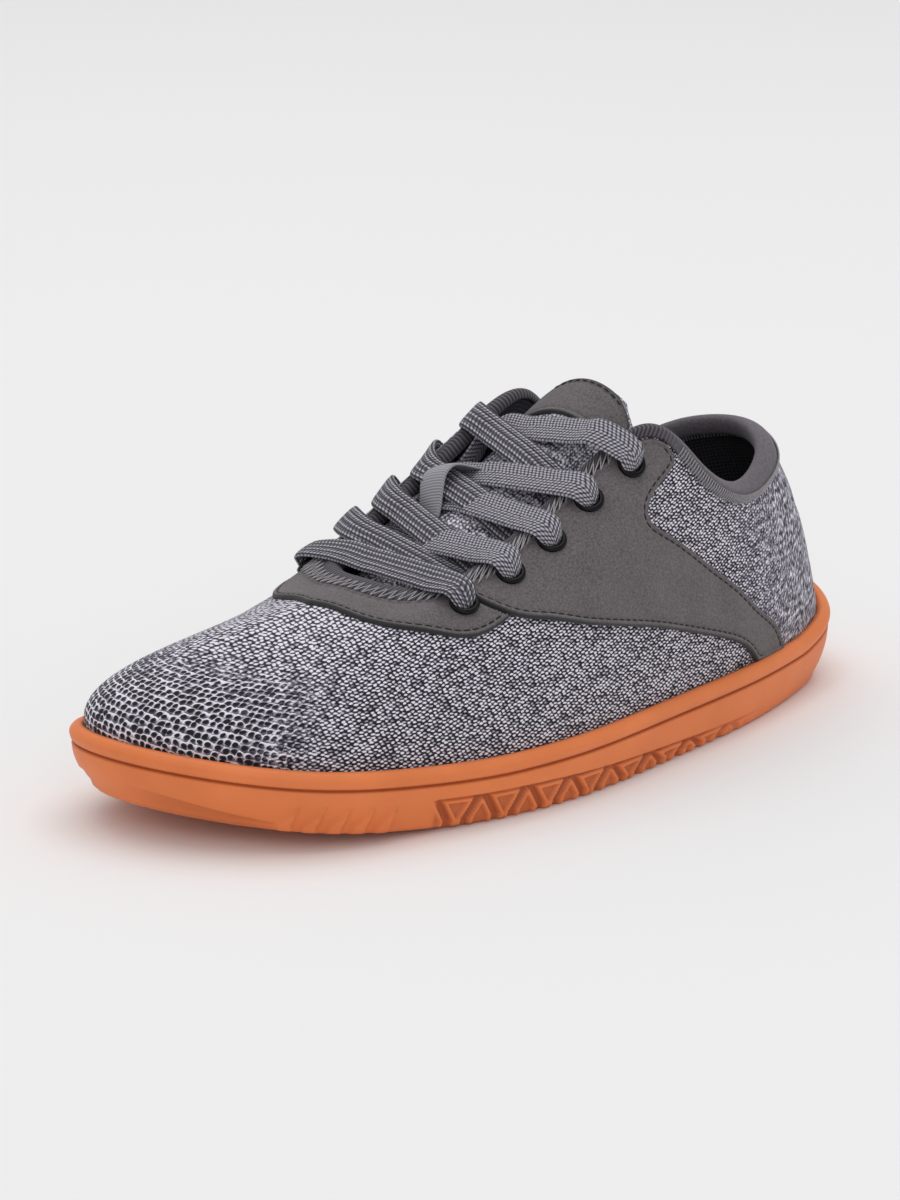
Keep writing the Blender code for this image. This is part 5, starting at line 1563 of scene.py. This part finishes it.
def wall_relief(s, height, run):
    """Lugs with sunk middles along the sides, slanted ripples and the long step of the toe's wall."""
    side = TOE_ROW - np.abs(s - TOE_ROW)
    pitch = (LUG_LAST - LUG_FIRST) / LUGS_PER_SIDE
    last = LUG_LAST - 0.4 * pitch
    window = smooth_step(LUG_FIRST, LUG_FIRST + 1.2, side) * (1.0 - smooth_step(last - LUG_FADE, last, side))
    top = LUG_TOP * (LUG_TAPER + (1.0 - LUG_TAPER) * smooth_step(LUG_FIRST, 0.9 * LUG_LAST, side))
    band = 1.0 - smooth_step(top, top + 0.8 * MM, height)
    relief = -LUG_SINK * window * band * np.ones_like(height)
    half = len(s) // 2

    def triangles(places, heights):
        """Columns near a triangle on each side of the sole, and how far inside it their points are."""
        for flip in (1.0, -1.0):
            at = np.interp([(TOE_ROW + flip * (spot - TOE_ROW)) % RING_ROWS for spot in places], s[:, 0], run)
            near = np.abs(run - at[2]) < RELIEF_REACH
            yield near, inside_triangle(run[near][:, None], height[near], list(zip(at, heights)))

    for index in range(LUGS_PER_SIDE):
        middle = LUG_FIRST + (index + 0.5) * pitch
        low, high = LUG_FOOT, np.interp(middle, side[:half, 0], top[:half, 0])
        if index % 2:
            low, high = high, low
        places = (middle - LUG_REACH * pitch, middle + LUG_REACH * pitch, middle)
        for near, inside in triangles(places, (low, low, high)):
            lug = LUG_SINK * smooth_step(-RELIEF_SOFT, RELIEF_SOFT, inside)
            lug -= LUG_HOLLOW * smooth_step(LUG_RIM - RELIEF_SOFT, LUG_RIM + RELIEF_SOFT, inside)
            raised = window[near] * np.where(inside > -RELIEF_SOFT, -LUG_SINK + lug, -LUG_SINK)
            relief[near] = np.maximum(relief[near], raised)
    for index in range(RIPPLES_PER_SIDE):
        foot = RIPPLE_FIRST + index * RIPPLE_STEP
        places = (foot - 0.5 * RIPPLE_WIDTH, foot + 1.5 * RIPPLE_WIDTH, foot - RIPPLE_LEAN)
        for near, inside in triangles(places, (RIPPLE_FOOT, RIPPLE_FOOT, RIPPLE_TOP)):
            relief[near] += RIPPLE_SWELL * smooth_step(-RELIEF_SOFT, 3.0 * RELIEF_SOFT, inside)
    toe = smooth_step(8.1, 8.6, side) * (1.0 - smooth_step(9.0, 9.9, side))
    step = (2.2 + 5.2 * smooth_step(8.0, 9.8, side)) * MM
    relief -= TOE_STEP * toe * (1.0 - smooth_step(step - 0.4 * MM, step + 0.4 * MM, height))
    return relief


def build_outsole(gum):
    columns = SOLE_COLUMNS
    s = np.arange(columns) * RING_ROWS / columns
    rib = rib_at(s)
    spring = toe_spring(rib.along)
    lip = lip_height(rib.along)
    wall_top = lip - BEAD_DEPTH - GROOVE_HALF - spring
    along, across = outline(s, BEAD_OUT)
    run = run_lengths(place(along, across, 0.0 * along), 0)
    low = wall_out(s, EDGE_ROUND)
    rings = []
    sunk = []

    def ring(out, up, depth=0.0):
        along, across = outline(s, out)
        rings.append(place(along, across, up))
        # sunk: share of the lugs' full sink, which the gum darkens as painted shade
        sunk.append(np.clip(np.broadcast_to(depth, s.shape) / LUG_SINK, 0.0, 1.0))

    share = np.linspace(0.0, 1.0, WALL_ROWS)[None, :]
    height = EDGE_ROUND + (wall_top[:, None] - EDGE_ROUND) * share
    relief = wall_relief(s[:, None], height, run)
    along, across = outline(s, low - EDGE_ROUND)
    ring(low - EDGE_ROUND, ground_height(along, across))
    for turn in (0.3, 0.6, 0.85):
        bend = 0.5 * pi * turn
        ring(low - EDGE_ROUND + np.sin(bend) * (EDGE_ROUND + relief[:, 0]),
             spring + EDGE_ROUND * (1.0 - np.cos(bend)), -relief[:, 0])
    for row in range(WALL_ROWS):
        ring(wall_out(s, height[:, row]) + relief[:, row], spring + height[:, row], -relief[:, row])
    groove = lip - BEAD_DEPTH
    # The groove counts as fully sunk, so it takes the gum's full painted shade
    for depth, up in ((0.7, -0.35), (1.0, 0.0), (0.8, 0.3)):
        ring(BEAD_OUT - WALL_BACK - depth * GROOVE_DEPTH, groove + up * GROOVE_HALF, LUG_SINK)
    for back, down in table_at(BEAD, np.linspace(0.0, 1.0, BEAD_ROWS)):
        ring(BEAD_OUT - back * MM, lip - down * MM)
    for up in (lip - LIP_SLOPE, 0.5 * (lip + CUP_FLOOR + spring), CUP_FLOOR + spring):
        ring(np.full_like(s, GAP), up)
    rings = np.array(rings)
    count = len(rings)
    points = [rings.reshape(-1, 3)]
    faces = [tuple(face) for face in grid_faces(count, columns, ring_columns=True)]

    half = columns // 2
    first = count * columns
    for start, edge, strips, tread in ((0, rings[0], TREAD_STRIPS, True),
                                       ((count - 1) * columns, rings[-1], CUP_STRIPS, False)):
        left = edge[1:half]
        right = edge[:half:-1]
        share = (np.arange(1, strips) / strips)[None, :, None]
        cross = left[:, None] * (1.0 - share) + right[:, None] * share
        length = SHOE_LENGTH / 2.0 - cross[..., 1]
        if tread:
            width = np.linalg.norm(right - left, axis=1)[:, None]
            margin = np.minimum(share[..., 0], 1.0 - share[..., 0]) * width
            chevron = np.abs((length + TREAD_LEAN * np.abs(cross[..., 0])) / TREAD_PITCH % 1.0 - 0.5)
            cut = (1.0 - smooth_step(0.09, 0.16, chevron)) * smooth_step(*TREAD_MARGIN, margin)
            cross[..., 2] = ground_height(length, cross[..., 0]) + TREAD_DEPTH * cut
        else:
            cross[..., 2] = CUP_FLOOR + toe_spring(length)
        points.append(cross.reshape(-1, 3))
        inner = first + np.arange(cross.shape[0] * cross.shape[1]).reshape(cross.shape[:2])
        lines = np.concatenate([(start + np.arange(1, half))[:, None], inner,
                                (start + np.arange(columns - 1, half, -1))[:, None]], axis=1)
        quads = np.stack([lines[:-1, :-1], lines[:-1, 1:], lines[1:, 1:], lines[1:, :-1]], axis=-1)
        faces += [tuple(quad) for quad in quads.reshape(-1, 4)]
        for end, line in ((start, lines[0]), (start + half, lines[-1])):
            faces += [(end, line[index], line[index + 1]) for index in range(len(line) - 1)]
        first += cross.shape[0] * cross.shape[1]
    points = np.concatenate(points)
    sunk = np.ravel(sunk)
    marks = {"sunk": np.concatenate([sunk, np.zeros(len(points) - len(sunk))])}
    sole = make_piece("gum_cupsole", points, faces, [gum], marks=marks)
    return settle(sole, "gum_rubber", "outsole")


def build_insole(fabric):
    half = np.linspace(0.12, TOE_ROW - 0.12, 130)
    share = edge_spacing(28)[None, :, None]
    outer_along, outer_across = outline(half, -UPPER_WALL - GAP)
    inner_along, inner_across = outline(RING_ROWS - half, -UPPER_WALL - GAP)
    left = place(outer_along, outer_across, 0.0 * half)[:, None]
    right = place(inner_along, inner_across, 0.0 * half)[:, None]
    flat = left * (1.0 - share) + right * share
    flat[..., 2] = CUP_FLOOR + GAP + toe_spring(SHOE_LENGTH / 2.0 - flat[..., 1])

    def face(depth):
        return flat + np.array([0.0, 0.0, 1.0]) * np.broadcast_to(depth, flat.shape[:2])[..., None]

    insole = rounded_sheet("sock_insole", face, 0.0, INSOLE_THICKNESS, fabric, 2.0 * MM)
    return settle(insole, "dark_sock_lining", "insole")


class SneakerSizes(bpy.types.PropertyGroup):
    """Sizes that a user would change."""

    lace_width: bpy.props.FloatProperty(
        name="Lace width", description="Full width of the flat lace", default=10.4 * MM, min=4 * MM,
        max=12 * MM, unit="LENGTH", precision=4)
    lace_thickness: bpy.props.FloatProperty(
        name="Lace thickness", description="Full thickness of the puffy lace", default=2.1 * MM, min=MM,
        max=4 * MM, unit="LENGTH", precision=4)
    eye: bpy.props.FloatVectorProperty(name="Camera", description="Where the camera stands",
                                       default=(1.00288, -1.01144, 0.49101), subtype="TRANSLATION")
    aim: bpy.props.FloatVectorProperty(name="Aim", description="What the camera looks at",
                                       default=(-0.01487, -0.00379, 0.04509), subtype="TRANSLATION")
    lens: bpy.props.FloatProperty(name="Lens", description="Focal length on a 36 mm sensor", default=145.7,
                                  unit="CAMERA")
    key_power: bpy.props.FloatProperty(name="Key light", description="Power of the overhead softbox",
                                       default=24.5, min=0.0, unit="POWER")
    fill_power: bpy.props.FloatProperty(name="Fill light", description="Power of the front softbox",
                                        default=7.0, min=0.0, unit="POWER")
    sky: bpy.props.FloatProperty(name="Room light", description="Brightness of the white room", default=0.585,
                                 min=0.0)


def colour_value(label, about, text):
    return bpy.props.FloatVectorProperty(name=label, description=about, subtype="COLOR", size=3, min=0.0,
                                         max=1.0, default=hex_colour(text))


class SneakerColours(bpy.types.PropertyGroup):
    """Colours that a user would change."""

    knit_loop: colour_value("Knit loop", "Palest yarn of the knit", "#f3effa")
    knit_body: colour_value("Knit body", "Middle grey of the knit", "#6a6676")
    knit_hole: colour_value("Knit hole", "Dark of the open holes", "#0b0b12")
    lining: colour_value("Lining", "Mesh lining and sock", "#3a3940")
    lining_hole: colour_value("Lining hole", "Pinholes of the lining", "#17171c")
    nubuck: colour_value("Nubuck", "Nap of the nubuck", "#736c6e")
    nubuck_shade: colour_value("Nubuck shade", "Rubbed nap of the nubuck", "#474345")
    nubuck_edge: colour_value("Nubuck edge", "Cut edge of the nubuck", "#232326")
    tape: colour_value("Tape", "Padded collar tape", "#7a747b")
    tape_shade: colour_value("Tape shade", "Shaded yarn of the collar tape", "#423e44")
    rib: colour_value("Tape rib", "Ribs of the throat's tape", "#5f5a62")
    rib_shade: colour_value("Tape rib shade", "Between the ribs of the throat's tape", "#222026")
    gum: colour_value("Gum", "Gum rubber", "#ee8447")
    gum_shade: colour_value("Gum shade", "Clouded gum rubber", "#e0793e")
    # Painted shade of the gum in its grooves and sunk hollows
    gum_recess_shade: colour_value("Gum deep", "Gum rubber in its grooves", "#8a3a14")
    lace: colour_value("Lace", "Middle grey of the lace", "#78747f")
    lace_pick: colour_value("Lace pick", "Pale picks of the braid", "#bcb9c4")
    lace_groove: colour_value("Lace groove", "Grooves of the braid", "#25242b")
    webbing: colour_value("Webbing", "Ribs of the lace keeper", "#a9a9b0")
    webbing_shade: colour_value("Webbing shade", "Between the keeper's ribs", "#7c7c84")
    enamel: colour_value("Enamel", "Eyelets", "#040405")
    enamel_worn: colour_value("Worn enamel", "Duller patches of the eyelets", "#0d0d0f")
    thread_dark: colour_value("Dark thread", "Stitches of the nubuck", "#1d1c1f")
    thread_pale: colour_value("Pale thread", "Zigzag of the tape", "#b9b4b4")
    paper: colour_value("Paper", "Studio floor", "#f4f4f4")
    paper_shade: colour_value("Paper shade", "Unevenness of the floor", "#f2f2f2")


class SNEAKER_OT_outsole(bpy.types.Operator):
    """Moulds the gum cupsole with its bead, groove, lugs, ripples and tread."""

    bl_idname = "sneaker.outsole"
    bl_label = "Gum cupsole"

    def execute(self, context):
        build_outsole(gum_rubber(context.scene.sneaker_colours))
        return {"FINISHED"}


class SNEAKER_OT_insole(bpy.types.Operator):
    """Lays the insole in the cup."""

    bl_idname = "sneaker.insole"
    bl_label = "Insole"

    def execute(self, context):
        build_insole(sock_fabric(context.scene.sneaker_colours))
        return {"FINISHED"}


class SNEAKER_OT_knit(bpy.types.Operator):
    """Knits the upper with its lining and creases, and the tongue."""

    bl_idname = "sneaker.knit"
    bl_label = "Knit upper and tongue"

    def execute(self, context):
        colours = context.scene.sneaker_colours
        knit = heathered_knit(colours)
        build_upper(knit, mesh_lining(colours))
        build_tongue(knit)
        return {"FINISHED"}


class SNEAKER_OT_nubuck(bpy.types.Operator):
    """Cuts the saddles, the vamp stay and the tongue's facing."""

    bl_idname = "sneaker.nubuck"
    bl_label = "Nubuck overlays"

    def execute(self, context):
        build_nubuck(sanded_nubuck(context.scene.sneaker_colours))
        return {"FINISHED"}


class SNEAKER_OT_binding(bpy.types.Operator):
    """Folds the tape over the edge of collar and throat, and sews the lace keeper."""

    bl_idname = "sneaker.binding"
    bl_label = "Binding and lace keeper"

    def execute(self, context):
        colours = context.scene.sneaker_colours
        build_binding(ribbed_tape(colours))
        build_keeper(woven_webbing(colours))
        return {"FINISHED"}


class SNEAKER_OT_eyelets(bpy.types.Operator):
    """Sets the ten eyelets."""

    bl_idname = "sneaker.eyelets"
    bl_label = "Eyelets"

    def execute(self, context):
        build_eyelets(black_enamel(context.scene.sneaker_colours))
        return {"FINISHED"}


class SNEAKER_OT_lace(bpy.types.Operator):
    """Runs the lace through the eyelets."""

    bl_idname = "sneaker.lace"
    bl_label = "Lace"

    def execute(self, context):
        build_lace(braided_lace(context.scene.sneaker_colours), context.scene.sneaker_sizes)
        return {"FINISHED"}


class SNEAKER_OT_stitches(bpy.types.Operator):
    """Sews the rows of stitches, the zigzag and the overlock."""

    bl_idname = "sneaker.stitches"
    bl_label = "Stitches"

    def execute(self, context):
        colours = context.scene.sneaker_colours
        build_stitches(sewing_thread("dark_thread", colours.thread_dark, colours.enamel),
                       sewing_thread("pale_thread", colours.thread_pale, colours.webbing_shade))
        return {"FINISHED"}


class SNEAKER_OT_stage(bpy.types.Operator):
    """Sets the floor, the soft lights and the camera."""

    bl_idname = "sneaker.stage"
    bl_label = "Studio stage"

    def execute(self, context):
        scene = context.scene
        sizes = scene.sneaker_sizes
        half = 20.0
        mesh = bpy.data.meshes.new("studio_floor")
        mesh.from_pydata([(-half, -half, 0.0), (half, -half, 0.0), (half, half, 0.0), (-half, half, 0.0)], [],
                         [(0, 1, 2, 3)])
        mesh.materials.append(studio_paper(scene.sneaker_colours))
        add_object("studio_floor", mesh)
        world = bpy.data.worlds.new("white_room")
        world.use_nodes = True
        background = world.node_tree.nodes["Background"]
        background.inputs["Color"].default_value = (1.0, 1.0, 1.0, 1.0)
        background.inputs["Strength"].default_value = sizes.sky
        scene.world = world
        scene.view_settings.view_transform = "Standard"
        for name, power, size, spot in (("key_softbox", sizes.key_power, 2.4, (-0.3, 0.2, 2.3)),
                                        ("fill_softbox", sizes.fill_power, 1.6, (1.9, -1.5, 1.5))):
            lamp = bpy.data.lights.new(name, "AREA")
            lamp.energy = power
            lamp.size = size
            light = add_object(name, lamp)
            light.location = spot
            light.rotation_euler = (-Vector(spot)).to_track_quat("-Z", "Y").to_euler()
        lens = bpy.data.cameras.new("camera")
        lens.lens = sizes.lens
        lens.sensor_width = 36.0
        lens.clip_end = 100.0
        camera = add_object("camera", lens)
        camera.location = sizes.eye
        camera.rotation_euler = (Vector(sizes.aim) - Vector(sizes.eye)).to_track_quat("-Z", "Y").to_euler()
        scene.camera = camera
        return {"FINISHED"}


OPERATORS = (SNEAKER_OT_outsole, SNEAKER_OT_insole, SNEAKER_OT_knit, SNEAKER_OT_nubuck, SNEAKER_OT_binding,
             SNEAKER_OT_eyelets, SNEAKER_OT_lace, SNEAKER_OT_stitches, SNEAKER_OT_stage)


class SNEAKER_PT_panel(bpy.types.Panel):
    """Lists the sneaker's operators and values."""

    bl_idname = "SNEAKER_PT_panel"
    bl_label = "Knit sneaker"
    bl_space_type = "VIEW_3D"
    bl_region_type = "UI"
    bl_category = "Sneaker"

    def draw(self, context):
        for operator in OPERATORS:
            self.layout.operator(operator.bl_idname)
        for values in (context.scene.sneaker_sizes, context.scene.sneaker_colours):
            for name in values.__annotations__:
                self.layout.prop(values, name)


CLASSES = (SneakerSizes, SneakerColours, *OPERATORS, SNEAKER_PT_panel)


def register():
    for item in CLASSES:
        bpy.utils.register_class(item)
    bpy.types.Scene.sneaker_sizes = bpy.props.PointerProperty(type=SneakerSizes)
    bpy.types.Scene.sneaker_colours = bpy.props.PointerProperty(type=SneakerColours)


def unregister():
    del bpy.types.Scene.sneaker_colours
    del bpy.types.Scene.sneaker_sizes
    for item in reversed(CLASSES):
        bpy.utils.unregister_class(item)


def main():
    register()
    for operator in OPERATORS:
        group, name = operator.bl_idname.split(".")
        getattr(getattr(bpy.ops, group), name)()


if __name__ == "__main__":
    main()
